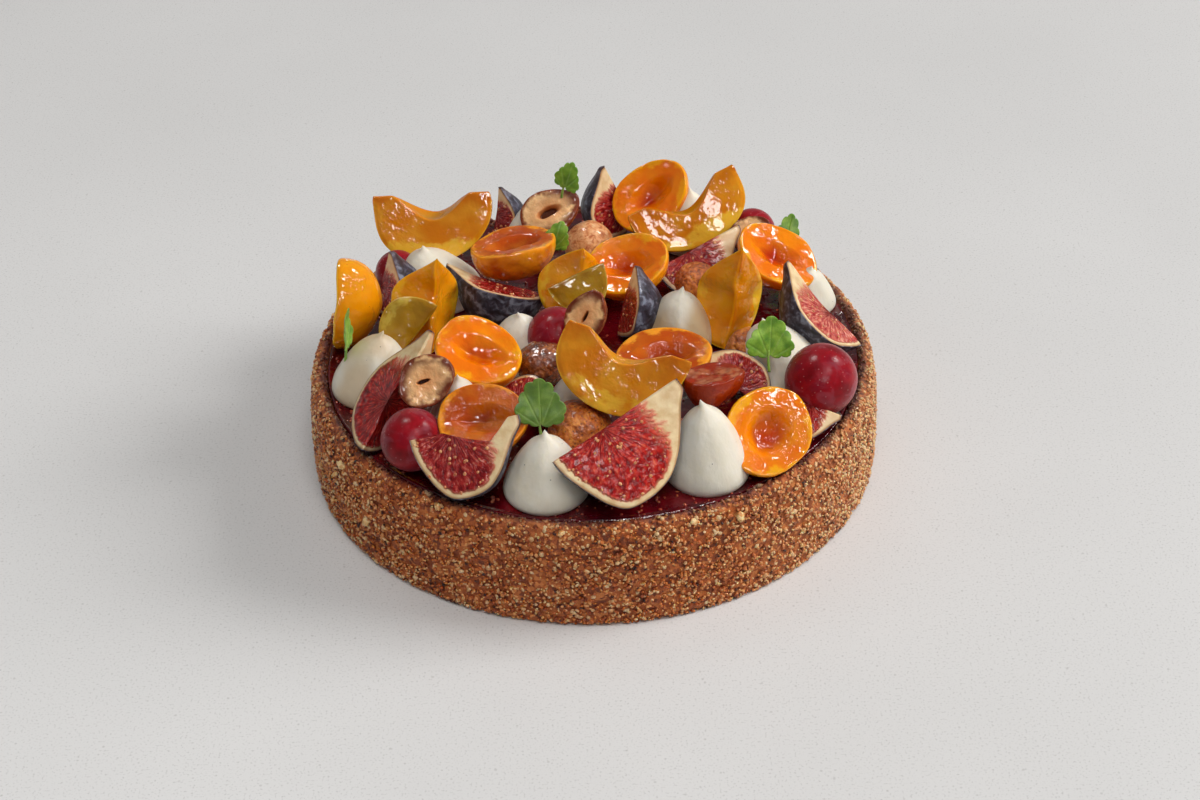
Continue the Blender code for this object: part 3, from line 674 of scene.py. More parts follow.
@dataclass(frozen=True)
class FigFinish(Finish):
    """Fig skin, rind and flesh. The mark fig_at is the point on the cut from the middle of the flesh, and the
    mark fig_tone is the depth under the skin, the share of flesh, and the way from base to stem.

    Attributes:
        blush: how light and warm the flesh is near the rind: deep from 0, cool from 1/3, warm from 2/3, pale
            at 1.
    """

    blush: float
    slot = "fig"

    FLESH = (
        ((0.33, (92, 2, 6)), (0.47, (140, 6, 8)), (0.57, (174, 22, 20)), (0.70, (210, 84, 66))),
        ((0.33, (98, 6, 12)), (0.47, (142, 18, 22)), (0.58, (170, 42, 38)), (0.72, (210, 120, 102))),
        ((0.33, (108, 4, 8)), (0.47, (156, 14, 14)), (0.58, (186, 34, 26)), (0.72, (216, 96, 70))),
        ((0.33, (150, 28, 32)), (0.47, (188, 68, 60)), (0.57, (210, 112, 92)), (0.70, (234, 170, 142))),
    )

    def build(self) -> bpy.types.Material:
        """Lays flesh over rind by its share, and skin over both where the depth is small.

        Fine strands run out from the middle of the flesh, and small berry cells lie among them.
        """
        graph = Graph("fig")
        at = graph.mark("fig_at")
        x, y, _ = graph.parts(at)
        depth, share, way = graph.parts(graph.mark("fig_tone"))
        reach = graph.add("VectorMath", "Value", {0: at}, operation="LENGTH")
        spoke = graph.math("ARCTAN2", y, x) * 7.0 + graph.noise(3.0, 2.0) * 1.1
        strand = graph.noise(0.55, 3.0, graph.vector(spoke, reach * 0.22, 0.0))
        heart = graph.ramp(strand, ((0.35, (76, 2, 6)), (0.55, (134, 10, 14)), (0.72, (196, 64, 50))))
        outer = graph.ramp(strand, self.FLESH[int(self.blush * 3.0)])
        flesh = graph.mix(graph.ease(reach, 1.5, 6.0), heart, outer)
        cells = graph.cells(1.5)
        berry = graph.ease(cells, 0.24, 0.12, 0.0, 0.55) * graph.ease(reach, 2.0, 5.0)
        flesh = graph.mix(berry, flesh, (204, 84, 50))

        ragged = share + (strand - 0.5) * 0.8
        cream = graph.ramp(graph.noise(2.6, 3.0), ((0.3, (214, 180, 130)), (0.7, (238, 216, 172))))
        tan = graph.mix(graph.ease(depth, 0.9, 0.3, 0.0, 0.8), cream, (160, 108, 62))
        flush = graph.mix(graph.ease(ragged, 0.16, 0.44, 0.0, 0.8), tan, (214, 104, 78))
        cut = graph.mix(graph.ease(ragged, 0.26, 0.78), flush, flesh)

        streak = graph.noise(2.2, 5.0, bend=0.5)
        skin = graph.ramp(streak, ((0.36, (32, 24, 32)), (0.52, (66, 62, 76)), (0.66, (124, 128, 144))))
        skin = graph.mix(graph.ease(way, 0.75, 1.0, 0.0, 0.4), skin, (92, 60, 52))
        covered = graph.ease(depth, 0.34, 0.16)

        bare = graph.ease(ragged, 0.3, 0.6) * (1.0 - covered)
        relief = graph.bump((strand * 0.8 + cells * 0.5) * bare, 0.7, graph.bump(graph.noise(0.7, 3.0), 0.06))
        rough = covered * 0.14 + graph.ease(bare, 0.0, 1.0, 0.34, 0.2)
        return graph.finish(
            graph.mix(covered, cut, skin), rough, relief, (0.25, (1.0, 0.35, 0.25), 1.8),
            Specular_IOR_Level=0.3, Coat_Weight=0.15, Coat_Roughness=0.08,
        )


class PlumTint(Enum):
    """The colours of the plums: the stone's bed, the flesh, its edge, and the skin."""

    ORANGE = ((190, 54, 0), (240, 118, 0), (250, 168, 10), (246, 150, 2))
    AMBER = ((212, 112, 0), (236, 144, 6), (246, 188, 40), (236, 152, 10))
    GOLD = ((188, 98, 0), (212, 122, 0), (234, 180, 50), (208, 136, 8))
    OLIVE = ((146, 96, 8), (168, 122, 18), (204, 170, 66), (162, 122, 24))
    RUSSET = ((142, 40, 0), (182, 72, 0), (238, 150, 34), (238, 150, 22))


@dataclass(frozen=True)
class PlumFinish(Finish):
    """Glassy stewed plum in a syrup coat. The mark fruit_at is the point on the cut, and fruit_tone is the
    way from the middle to the edge, the depth under the skin, and how far the point is on the cut side.

    Attributes:
        tint: the plum's colours.
        glints: how thickly small beads in the syrup catch the light; below 0 the coat is thin too.
    """

    tint: PlumTint
    glints: float
    slot = "plum"

    def build(self) -> bpy.types.Material:
        """Runs from the stone's bed to the edge, pales to yellow at the skin, partly the plum's own colour
        and partly a painted highlight along the edges, and beads the syrup in clusters."""
        graph = Graph("plum")
        bed, flesh, edge, skin = self.tint.value
        x, y, _ = graph.parts(graph.mark("fruit_at"))
        way, depth, side = graph.parts(graph.mark("fruit_tone"))
        fibre = graph.noise(0.8, 3.0, graph.vector(graph.math("ARCTAN2", y, x) * 5.0, way, depth))
        tone = way + (graph.noise(6.0, 3.0) - 0.5) * 0.5 + (fibre - 0.5) * 0.16
        # Partly painted highlight: the pale edge colour at the rim and under the skin is the plum's own
        # yellow edge, made paler to stand in for the light that the edges catch.
        cut = graph.ramp(tone, ((0.12, bed), (0.58, flesh), (0.93, flesh), (1.0, edge)))
        light = graph.mix(graph.ease(graph.noise(9.0, 2.0), 0.4, 0.7, 0.0, 0.35), cut, edge)
        inside = graph.mix(graph.ease(depth, 0.55, 0.12, 0.0, 0.75), light, edge)
        shade = graph.ramp(graph.noise(7.0, 3.0), ((0.3, flesh), (0.6, skin)))
        outside = graph.mix(graph.ease(graph.cells(2.6), 0.10, 0.05, 0.0, 0.55), shade, (170, 90, 10))
        colour = graph.mix(graph.ease(side, 0.35, 0.65), outside, inside)

        soft = graph.bump(graph.noise(2.4, 2.0), 0.22, graph.bump(fibre, 0.05))
        rare = 0.16 * self.glints
        cluster = graph.ease(graph.noise(5.0, 1.0), 0.64 - rare, 0.74 - rare, 0.12, 1.0)
        syrup = graph.bump(graph.noise(1.2, 1.0) * cluster, 0.8 + 0.45 * self.glints)
        return graph.finish(
            colour, 0.5, soft, (0.3, (1.0, 0.38, 0.08), 2.5), Specular_IOR_Level=0.0, Coat_Roughness=0.03,
            Coat_Weight=min(1.0, 1.0 + self.glints), Coat_IOR=1.5, Coat_Normal=syrup,
        )


class NutCoat(Enum):
    """How a hazelnut half was treated: the colours of its skin."""

    TOASTED = ((0.35, (88, 30, 10)), (0.5, (142, 62, 22)), (0.62, (190, 110, 54)), (0.72, (226, 172, 110)))
    CARAMEL = ((0.35, (84, 16, 2)), (0.5, (156, 42, 6)), (0.66, (200, 84, 24)))
    PEELED = ((0.34, (176, 92, 44)), (0.5, (222, 152, 98)), (0.7, (240, 190, 140)))


@dataclass(frozen=True)
class NutFinish(Finish):
    """Hazelnut kernel and skin. It reads the same mark as the plums.

    Attributes:
        coat: how the nut was treated.
    """

    coat: NutCoat
    slot = "hazelnut"

    RINGS = ((0.16, (84, 36, 14)), (0.32, (204, 126, 70)), (0.6, (232, 166, 108)), (0.90, (242, 196, 140)),
             (0.97, (132, 56, 20)))

    def build(self) -> bpy.types.Material:
        """Rings the tan cut face and burns its edge in places, and leaves papery skin on the rest."""
        graph = Graph("hazelnut")
        way, _, side = graph.parts(graph.mark("fruit_tone"))
        face = graph.ramp(way + (graph.noise(2.2, 3.0) - 0.5) * 0.25, self.RINGS)
        burnt = graph.ease(graph.noise(5.0, 2.0), 0.42, 0.56) * graph.ease(way, 0.72, 0.95)
        streak = graph.noise(1.6, 4.0, bend=0.8)
        skin = graph.ramp(streak, self.coat.value)
        colour = graph.mix(graph.ease(side, 0.35, 0.65), skin, graph.mix(burnt, face, (112, 44, 16)))
        wet = self.coat is NutCoat.CARAMEL
        if wet:
            colour = graph.mix(graph.ease(graph.noise(4.0, 2.0), 0.40, 0.60, 0.72, 1.0), colour, (150, 40, 4))
        relief = graph.bump(graph.noise(0.6, 4.0), 0.16, graph.bump(streak, 0.22))
        return graph.finish(
            colour, 0.2 if wet else 0.4, relief, (0.15, (1.0, 0.5, 0.2), 1.2), Specular_IOR_Level=0.2,
            Coat_Weight=0.35, Coat_Roughness=0.06,
        )


@dataclass(frozen=True)
class LeafFinish(Finish):
    """A fresh herb leaf. The mark leaf_tone is how near the point is to a vein.

    Attributes:
        dark: how dark its green is, from 0 to 1.
    """

    dark: float
    slot = "leaf"

    def build(self) -> bpy.types.Material:
        """Pales the veins and clouds the green between them."""
        graph = Graph("leaf")
        cloud = graph.noise(2.5, 4.0)
        green = graph.ramp(cloud, ((0.3, (92, 142, 36)), (0.5, (128, 174, 48)), (0.7, (166, 206, 76))))
        green = graph.mix(self.dark, green, (66, 88, 30))
        vein = graph.parts(graph.mark("leaf_tone"))[0]
        colour = graph.mix(vein * 0.3, green, (176, 206, 120))
        relief = graph.bump(graph.cells(0.5, feature="DISTANCE_TO_EDGE"), 0.04, graph.bump(vein, -0.08))
        return graph.finish(colour, 0.42, relief, (0.3, (0.4, 1.0, 0.2), 1.2), Sheen_Weight=0.15)


@dataclass(frozen=True)
class StoneFinish(Finish):
    """The pale speckled stone that the tart stands on."""

    def build(self) -> bpy.types.Material:
        """Clouds the stone faintly and scatters small dark grains."""
        graph = Graph("stone")
        cloud = graph.ramp(graph.noise(140.0, 4.0), ((0.3, (213, 212, 211)), (0.7, (219, 218, 217))))
        grain = graph.ease(graph.noise(0.6, 2.0), 0.54, 0.76, 0.0, 0.6)
        speck = graph.ease(graph.cells(5.0), 0.085, 0.05, 0.0, 0.3)
        colour = graph.mix(speck, graph.mix(grain, cloud, (168, 166, 164)), (140, 136, 132))
        return graph.finish(colour, 0.5, graph.bump(graph.noise(1.2, 3.0), 0.04))


# Toppings


@dataclass(frozen=True)
class Topping:
    """One thing laid on the glaze.

    Attributes:
        name: its name, which is also its solid's where it has one.
        bend: sets how its shape is bent, so that no two are alike.
    """

    name: str
    bend: int

    def warped(self, points: np.ndarray) -> np.ndarray:
        """Adds to each coordinate half a millimetre of a slow sine wave along the next one, as the solid
        has."""
        phases = np.array([1.3, 2.1, 3.7]) * self.bend
        return points + 0.5 * np.sin(0.22 * np.roll(points, -1, axis=-1) + phases)

    def lay(self, shape: Surface, turn: np.ndarray, finish: Finish, centre: Vec | None = None) -> np.ndarray:
        """Turns the shape, seats it and makes it a piece.

        Args:
            shape: the shape about its own origin.
            turn: how it is turned.
            finish: what it wears.
            centre: the centre of its box, or None where it replaces a solid.

        Returns:
            How far it was shifted.
        """
        nodes = (self.name,) if centre is None else ()
        if centre is None:
            centre = np.mean(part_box(self.name), axis=0) / MM
        shift = centre - shape.turned(turn, np.zeros(3)).middle()
        shape.turned(turn, shift).piece(self.name + "_fine", finish, nodes)
        return shift


@dataclass(frozen=True)
class Pointed(Topping):
    """A topping that points one way and looks another.

    Attributes:
        along: the way that its stem, tip or long axis points.
        face: the way that its shown cut or its upper side looks.
    """

    along: Vec
    face: Vec

    def turn(self) -> np.ndarray:
        """How it is turned."""
        return facing(self.along, self.face)


@dataclass(frozen=True)
class Wedge(Pointed):
    """A wedge of a turned fruit: two cut faces that meet at the core, and a strip of skin.

    Attributes:
        side: the side of the stem's way that the belly is on, +1 for the left.
        length: from base to stem.
        radius: of the whole fruit.
        angle: between the cut faces, in degrees.
        hollow: the hollow at the core, in millimetres on a fig and as a share of the radius on a plum.
    """

    side: int
    length: float
    radius: float
    angle: float
    hollow: float

    def outline(self) -> tuple[np.ndarray, np.ndarray]:
        """The skin's chain of (along, radius) points, and the hollow's radius at each of them."""
        raise NotImplementedError

    def shift(self) -> float:
        """How far the core lies from the middle of the wedge."""
        raise NotImplementedError

    def rounding(self) -> int:
        """How many times its edges are rounded over."""
        return 2

    def relief(self, x: np.ndarray, r: np.ndarray, cut: np.ndarray, depth: np.ndarray) -> np.ndarray:
        """How far the cut faces stand proud, in millimetres."""
        raise NotImplementedError

    def marks(self, x: np.ndarray, r: np.ndarray, cut: np.ndarray, depth: np.ndarray) -> Marks:
        """The marks that the finish reads."""
        raise NotImplementedError

    def columns(self) -> tuple[np.ndarray, np.ndarray, np.ndarray]:
        """Lays out the ring of points round one cross-section.

        It runs out along the shown cut, round the skin, back along the other cut, and round the core.

        Returns:
            For each point of the ring: its share of the way from core to skin, its share of the way from the
            shown cut to the other, and which cut it lies on: +1, -1, or 0 for neither.
        """
        u = np.linspace(0.0, 1.0, 52)
        out = 0.75 * u + 0.25 * (1.0 - np.cos(math.pi * u)) / 2.0
        arc = np.linspace(0.0, 1.0, 38)[1:-1]
        core = np.linspace(0.0, 1.0, 6)[1:-1]
        none, arc_ones, ones = np.zeros_like(core), np.ones_like(arc), np.ones_like(out)
        reach = np.concatenate([out, arc_ones, out[::-1], none])
        turn = np.concatenate([0.0 * out, arc, ones, core[::-1]])
        cut = np.concatenate([ones, 0.0 * arc, -ones, none])
        return reach, turn, cut

    def at(self, x: np.ndarray, r: np.ndarray, turn: np.ndarray, lift: np.ndarray) -> np.ndarray:
        """The point x along the core, r out from it, and turned by a share of the wedge's angle.

        It is (x, side r cos a, -r sin a), where a is the turn, moved along the cut's own normal by the lift.
        """
        a = turn * math.radians(self.angle)
        rise = np.where(turn > 0.5, -lift, lift)
        y = self.side * (r * np.cos(a) + rise * np.sin(a))
        return stacked(x, y + self.shift(), rise * np.cos(a) - r * np.sin(a))

    def body(self) -> Surface:
        """The wedge's closed surface about its own origin, with its marks.

        Every ring is a cross-section, from the base to the stem. The depth is the way to the nearest point of
        the outline.
        """
        chained, inner = self.outline()
        reach, turn, cut = self.columns()
        x = np.repeat(chained[1:-1, :1], len(reach), axis=1)
        r = inner[1:-1, None] + (chained[1:-1, 1:] - inner[1:-1, None]) * reach
        turn, cut = (np.broadcast_to(a, x.shape) for a in (turn, cut))
        depth = np.hypot(x[..., None] - chained[:, 0], r[..., None] - chained[:, 1]).min(axis=-1)
        depth = np.where((cut == 0.0) & (reach == 1.0), 0.0, depth)
        rings = self.at(x, r, turn, self.relief(x, r, cut, depth) * np.abs(cut))
        for _ in range(self.rounding()):
            rings = rings + 0.2 * (np.roll(rings, 1, axis=1) + np.roll(rings, -1, axis=1) - 2.0 * rings)
        out = (chained[[0, -1], 1] + inner[[0, -1]]) / 2.0
        tips = self.at(chained[[0, -1], 0], out, np.full(2, 0.49), 0.0)
        marks = {name: capped(values) for name, values in self.marks(x, r, cut, depth).items()}
        return shell(self.warped(capped(rings, tips)), len(reach), marks)


@dataclass(frozen=True)
class FigWedge(Wedge):
    """A wedge of fresh fig.

    Attributes:
        blush: how light and warm its flesh is; at 0 no seeds show either.
    """

    blush: float = 0.5

    SKIN = ((0.0, 0.0), (0.02, 0.27), (0.07, 0.56), (0.14, 0.80), (0.25, 0.97), (0.42, 1.0), (0.58, 0.94),
            (0.71, 0.77), (0.82, 0.54), (0.92, 0.31), (1.0, 0.15), (1.0, 0.0))
    NOTCH = ((0.28, 0.52, 0.68, 0.80, 0.92), (0.0, 0.65, 1.0, 0.55, 0.0))
    NECK = 0.70
    HEART = 0.40
    SEED_GAP = 2.5

    def outline(self) -> tuple[np.ndarray, np.ndarray]:
        """A fat teardrop, with a notch in the core where the fig has one."""
        chained = chain(self.SKIN, 92)
        notch = np.interp(chained[:, 0], *self.NOTCH, left=0.0, right=0.0) * self.hollow
        r = np.clip(chained[:, 1], 0.0, None) * self.radius
        return stacked((chained[:, 0] - 0.5) * self.length, r), np.minimum(np.maximum(notch, 0.4), 0.6 * r)

    def shift(self) -> float:
        """Half the radius, towards the core's side."""
        return -self.side * self.radius / 2.0

    def share(self, x: np.ndarray, depth: np.ndarray) -> np.ndarray:
        """How much of the cut is flesh: none in the rind under the skin, and none in the neck."""
        scale = self.radius / 21.5
        way = x / self.length + 0.5
        base = step(depth, 0.5 * scale + 0.2, 2.9 * scale + 0.5)
        return base * (1.0 - step(way, self.NECK - 0.18, self.NECK + 0.16))

    def past_heart(self, x: np.ndarray) -> np.ndarray:
        """How far along the core a place is past the middle of the flesh."""
        return x - (self.HEART - 0.5) * self.length

    def relief(self, x: np.ndarray, r: np.ndarray, cut: np.ndarray, depth: np.ndarray) -> np.ndarray:
        """Fibrous lumps in the flesh, which sinks a little towards its middle."""
        reach = np.hypot(self.past_heart(x), r)
        fan = stacked(np.arctan2(r, self.past_heart(x)) * 9.0, reach * 0.45, cut * 5.0 + self.bend)
        wavy = lumps(fan, 1.0, self.bend) + 0.5 * lumps(fan * 2.1, 1.0, self.bend + 50)
        sunk = np.exp(-((reach / (0.35 * self.radius)) ** 2))
        return step(depth, 0.0, 1.2) * (self.share(x, depth) * (0.11 * wavy - 0.5 * sunk) + 0.12)

    def marks(self, x: np.ndarray, r: np.ndarray, cut: np.ndarray, depth: np.ndarray) -> Marks:
        """The marks that the fig finish reads."""
        tone = stacked(depth, self.share(x, depth), x / self.length + 0.5)
        return {"fig_at": stacked(self.past_heart(x), r, cut * 3.0), "fig_tone": tone}

    def seeds(self, rng: np.random.Generator) -> np.ndarray:
        """Places for seeds on both cuts: a jittered lattice, kept where there is flesh.

        Args:
            rng: the source of the random draws.

        Returns:
            (n, 3) points about the wedge's own origin, those on the shown cut first.
        """
        gap = self.SEED_GAP
        along, out = np.arange(-0.5 * self.length, 0.5 * self.length, gap), np.arange(0.6, self.radius, gap)
        x, r = (a + gap * rng.uniform(-0.75, 0.75, a.shape) for a in np.meshgrid(along, out))
        chained, inner = self.outline()
        skin, low = (np.interp(x, chained[:-1, 0], line[:-1]) for line in (chained[:, 1], inner))
        kept = (self.share(x, skin - r) > 0.45) & (r > low + 0.5) & (np.hypot(self.past_heart(x), r) > 1.5)
        kept &= rng.random(x.shape) < 0.7 * (self.blush > 0.0)
        x, r, depth = x[kept], r[kept], (skin - r)[kept]
        sides = []
        for turn in (0.0, 1.0):
            lift = self.relief(x, r, np.full_like(x, 1.0 - 2.0 * turn), depth) - 0.02
            sides.append(self.at(x, r, np.full_like(x, turn), lift))
        return self.warped(np.concatenate(sides))

    def build(self, rng: np.random.Generator) -> tuple[np.ndarray, np.ndarray]:
        """Makes the wedge.

        Args:
            rng: the source of the random draws for its seeds.

        Returns:
            Where its seeds go, and the way that each looks.
        """
        turn = self.turn()
        shift = self.lay(self.body(), turn, FigFinish(self.blush))
        places = self.seeds(rng)
        a = math.radians(self.angle)
        ways = [[0.0, 0.0, 1.0], [0.0, -self.side * math.sin(a), -math.cos(a)]]
        looks = np.repeat(ways, len(places) // 2, axis=0)
        return places @ turn.T + shift, looks @ turn.T


@dataclass(frozen=True)
class PlumSlice(Wedge):
    """A crescent of stewed plum, with the long hollow of its stone where it has one.

    Attributes:
        tint: the plum's colours.
        glints: how thickly small beads in the syrup catch the light.
        sharp: how sharp the tip is that it points with.
    """

    tint: PlumTint = PlumTint.GOLD
    glints: float = 0.4
    sharp: float = 0.95

    def outline(self) -> tuple[np.ndarray, np.ndarray]:
        """An oval whose half width at angle t from the first tip is a power of sin t: blunt to the middle and
        sharp past it. The stone's bed is a narrower bump inside it, and both lines start a little off the
        core, which rounds the tips."""
        t = np.linspace(0.0, math.pi, 96)
        x = -np.cos(t) * self.length / 2.0
        bulge = np.clip(np.sin(t), 0.0, 1.0)
        off = 0.16 * self.radius * bool(self.hollow)
        r = off + (self.radius - off) * bulge ** np.where(x < 0.0, 0.75, self.sharp)
        bed = np.cos(np.clip(x / (0.36 * self.length), -1.0, 1.0) * math.pi / 2.0)
        inner = np.maximum(self.radius * self.hollow * np.clip(bed, 0.0, 1.0) ** 1.5, 0.35)
        tips = off * np.clip(1.0 - 1.9 * np.sqrt(bulge), 0.0, 1.0)
        return stacked(x, r), np.maximum(np.minimum(inner, 0.7 * (r - off)), tips)

    def shift(self) -> float:
        """A little over half the radius, towards the core's side."""
        return -self.side * self.radius * (0.5 + 0.2 * self.hollow)

    def rounding(self) -> int:
        """The slices without a stone's bed are soft, and round over most."""
        return 3 if self.hollow else 16

    def relief(self, x: np.ndarray, r: np.ndarray, cut: np.ndarray, depth: np.ndarray) -> np.ndarray:
        """A soft pillow with slow waves, deeper on the slices without a stone's bed."""
        at = stacked(x, r, 6.0 * cut)
        slow = (0.22 if self.hollow else 0.7) * lumps(at, 4.5, self.bend)
        return step(depth, 0.0, 1.5) * (0.25 + slow + 0.05 * lumps(at, 1.3, self.bend))

    def marks(self, x: np.ndarray, r: np.ndarray, cut: np.ndarray, depth: np.ndarray) -> Marks:
        """The marks that the plum finish reads."""
        way = np.clip(r / self.radius + 0.25, 0.0, 1.0)
        return {"fruit_at": stacked(x, r, 0.0), "fruit_tone": stacked(way, depth, np.abs(cut))}

    def build(self) -> None:
        """Makes the slice."""
        self.lay(self.body(), self.turn(), PlumFinish(self.tint, self.glints))


@dataclass(frozen=True)
class Half(Pointed):
    """Half of a fruit or nut: a dome below and a cut above with a bed in it, where the stone or the germ was.

    Attributes:
        length: along the long axis.
        width: across it.
        depth: of the dome.
    """

    length: float
    width: float
    depth: float

    def bed(self, x: np.ndarray, y: np.ndarray) -> np.ndarray:
        """How deep the bed is at a point of the unit cut, from 0 outside it to 1 at its bottom."""
        raise NotImplementedError

    def cut(self, x: np.ndarray, y: np.ndarray) -> np.ndarray:
        """The height of the cut at a point of the unit cut, as a share of the depth."""
        raise NotImplementedError

    def chips(self, x: np.ndarray, y: np.ndarray, grain: float, size: float, seed: int) -> np.ndarray:
        """Random values over the unit cut, which is stretched by the grain."""
        return lumps(stacked(x * grain, y * grain, 0.0), size, self.bend + seed)

    def body(self, columns: int, jag: float, tip: float) -> Surface:
        """The half's closed surface.

        Rings run over the unit cut from its middle to the lip, round the lip and down the dome. The cut takes
        its height from its own formula. The whole is then made oval, drawn out to a tip by the square of the
        way along, and bent.

        Args:
            columns: headings round the axis.
            jag: how uneven the outline is, as a share of the radius.
            tip: how far the end of the long axis is drawn out.

        Returns:
            The surface about the half's own origin.
        """
        angle = np.linspace(0.0, math.pi / 2.0, 40)[1:]
        lip = np.array([[0.965, -0.004], [0.985, -0.02], [0.997, -0.06], [1.0, -0.10]])
        dome = stacked(np.cos(angle) ** 0.9, -0.1 - 0.9 * np.sin(angle))
        face = stacked(np.linspace(0.0, 0.945, 45), 0.0)
        points = spun(np.concatenate([face, lip, dome]), columns)
        x, y = points[:, 0].copy(), points[:, 1].copy()
        on_cut = np.arange(len(points)) < (len(face) + 1) * columns
        on_cut[-2] = True
        radius = np.hypot(x, y)
        points[:, 2] += on_cut * (1.0 - step(radius, 0.86, 0.99)) * self.cut(x, y)
        pull = tip * np.maximum(0.0, x) ** 2
        points *= stacked(self.length / 2.0 * (1.0 + pull), self.width / 2.0 * (1.0 - pull), self.depth)
        points *= 1.0 + jag * (self.chips(x, y, 5.0, 3.1, 0) + 0.5 * self.chips(x, y, 5.0, 1.3, 5))[:, None]
        points[:, 2] += 0.25 * lumps(points * [1.0, 1.0, 0.3], 5.0, self.bend)
        deep = (1.0 - radius) * self.width / 2.0 * on_cut
        way = 0.5 * radius + 0.5 * (1.0 - self.bed(x, y))
        marks = {"fruit_at": stacked(x, y, 0.0), "fruit_tone": stacked(way, deep, on_cut.astype(float))}
        return shell(self.warped(points), columns, marks)


@dataclass(frozen=True)
class PlumHalf(Half):
    """Half a stewed plum.

    Attributes:
        tint: the plum's colours.
        glints: how thickly small beads in the syrup catch the light.
        tip: how far the end of the long axis is drawn out.
        crisp: how flat the bed's floor and how steep its wall is, from 0 for a soft dish.
    """

    tint: PlumTint = PlumTint.ORANGE
    glints: float = 0.5
    tip: float = 0.0
    crisp: float = 0.0

    BED = 0.56
    DISH = 0.07
    DIP = 0.27

    def bed(self, x: np.ndarray, y: np.ndarray) -> np.ndarray:
        """An almond: one less the square of the way out, which counts less along the plum than across it."""
        stretch = 1.25 - 0.25 * self.crisp
        out = np.hypot(x / (self.BED * stretch), y / (self.BED * (0.82 + 0.18 * self.crisp)))
        soft = np.clip(1.0 - out**2, 0.0, 1.0) ** 1.4
        return (1.0 - self.crisp) * soft + self.crisp * (1.0 - step(out, 0.45, 1.05))

    def cut(self, x: np.ndarray, y: np.ndarray) -> np.ndarray:
        """The bed, a shallow dish about it, and a crease along its middle."""
        dish = self.DISH * (1.0 - x**2 - y**2)
        crease = 0.05 * np.exp(-((y / 0.07) ** 2)) * step(-np.abs(x), -0.95, -0.3)
        ripple = 0.02 * self.chips(x, y, 9.0, 2.0, 2)
        return ripple - dish - self.DIP * self.bed(x, y) - (1.0 - self.crisp) * crease

    def build(self) -> None:
        """Makes the half."""
        self.lay(self.body(120, 0.025, self.tip), self.turn(), PlumFinish(self.tint, self.glints))


@dataclass(frozen=True)
class Hazelnut(Half):
    """Half a toasted hazelnut.

    Attributes:
        coat: how the nut was treated.
        slit: the length and width of the hollow in its cut.
    """

    coat: NutCoat = NutCoat.TOASTED
    slit: tuple[float, float] = (0.26, 0.08)

    def bed(self, x: np.ndarray, y: np.ndarray) -> np.ndarray:
        """A narrow hollow with a ragged edge."""
        out = np.hypot((x + 0.04) / self.slit[0], (y + 0.12 * x) / self.slit[1])
        return 1.0 - step(out + 0.3 * self.chips(x, y, 9.0, 2.2, 7), 0.55, 1.15)

    def cut(self, x: np.ndarray, y: np.ndarray) -> np.ndarray:
        """The hollow in a cut with shallow chips."""
        rough = 0.035 * self.chips(x, y, 7.0, 3.0, 1) + 0.02 * self.chips(x, y, 7.0, 1.1, 3)
        return rough - 0.3 * self.bed(x, y)

    def build(self) -> None:
        """Makes the nut."""
        self.lay(self.body(96, 0.05, 0.12), self.turn(), NutFinish(self.coat))


@dataclass(frozen=True)
class CreamKiss(Topping):
    """A piped kiss of cream: a dome that is drawn up to a small leaning point. It stands on the glaze, and
    the fruit sinks into it.

    Attributes:
        x: where it stands.
        y: where it stands.
        radius: at the base.
        height: to the point.
        lean_x: how far the point leans.
        lean_y: how far the point leans.
        tint: how much painted reflection and shade shows on it, as beige.
        spare: whether it has no solid.
    """

    x: float
    y: float
    radius: float
    height: float
    lean_x: float = 0.0
    lean_y: float = 0.0
    tint: float = 0.0
    spare: bool = False

    OUTLINE = ((0.0, 1.0), (0.04, 0.965), (0.10, 0.915), (0.24, 0.852), (0.43, 0.76), (0.62, 0.60),
               (0.79, 0.41), (0.94, 0.20), (0.98, 0.06), (0.92, 0.0), (0.6, -0.01), (0.0, -0.01))

    def build(self) -> None:
        """Turns the outline about Z, leans it by the square of the way up, and dents it in slow lumps."""
        columns = 108
        points = spun(chain(self.OUTLINE, 96) * [self.radius, self.height], columns)
        share = np.clip(points[:, 2] / self.height, 0.0, 1.0)
        swirl = np.arctan2(points[:, 1], points[:, 0])
        ridge = 0.10 * np.sin(9.0 * swirl + 5.0 * share + self.bend) * share * (1.0 - share) * 4.0
        dents = 0.30 * lumps(points, 8.0, self.bend) + 0.12 * lumps(points, 3.0, self.bend + 3) + ridge
        points[:, :2] *= 1.0 + (dents * step(share, 0.0, 0.25) / self.radius)[:, None]
        hook = (step(share, 0.86, 1.0) * 0.9)[:, None] * [math.cos(self.bend), math.sin(self.bend)]
        points[:, :2] += np.outer(share**2, [self.lean_x, self.lean_y]) + hook
        points += [self.x, self.y, GLAZE_TOP]
        nodes = () if self.spare else (self.name,)
        shell(points, columns).piece(self.name + "_fine", CreamFinish(self.tint), nodes)


@dataclass(frozen=True)
class Grape(Topping):
    """A whole dark grape.

    Attributes:
        radius: its radius.
        centre: the centre of its box, where it has no solid.
    """

    radius: float
    centre: Vec | None = None

    def build(self) -> None:
        """Dents a ball slightly and dimples its top, where the stalk was."""
        columns = 88
        ball = globe(1.04, 58, columns)
        dimple = np.exp(-((np.hypot(ball[:, 0], ball[:, 1]) / 0.10) ** 2)) * (ball[:, 2] > 0.0)
        swell = 1.0 + 0.012 * lumps(ball * 10.0, 9.0, self.bend) - 0.05 * dimple
        turn = facing((math.cos(self.bend), math.sin(self.bend), 0.4), (0.35, 0.85, -0.1))
        self.lay(shell(ball * swell[:, None] * self.radius, columns), turn, GrapeFinish(), self.centre)


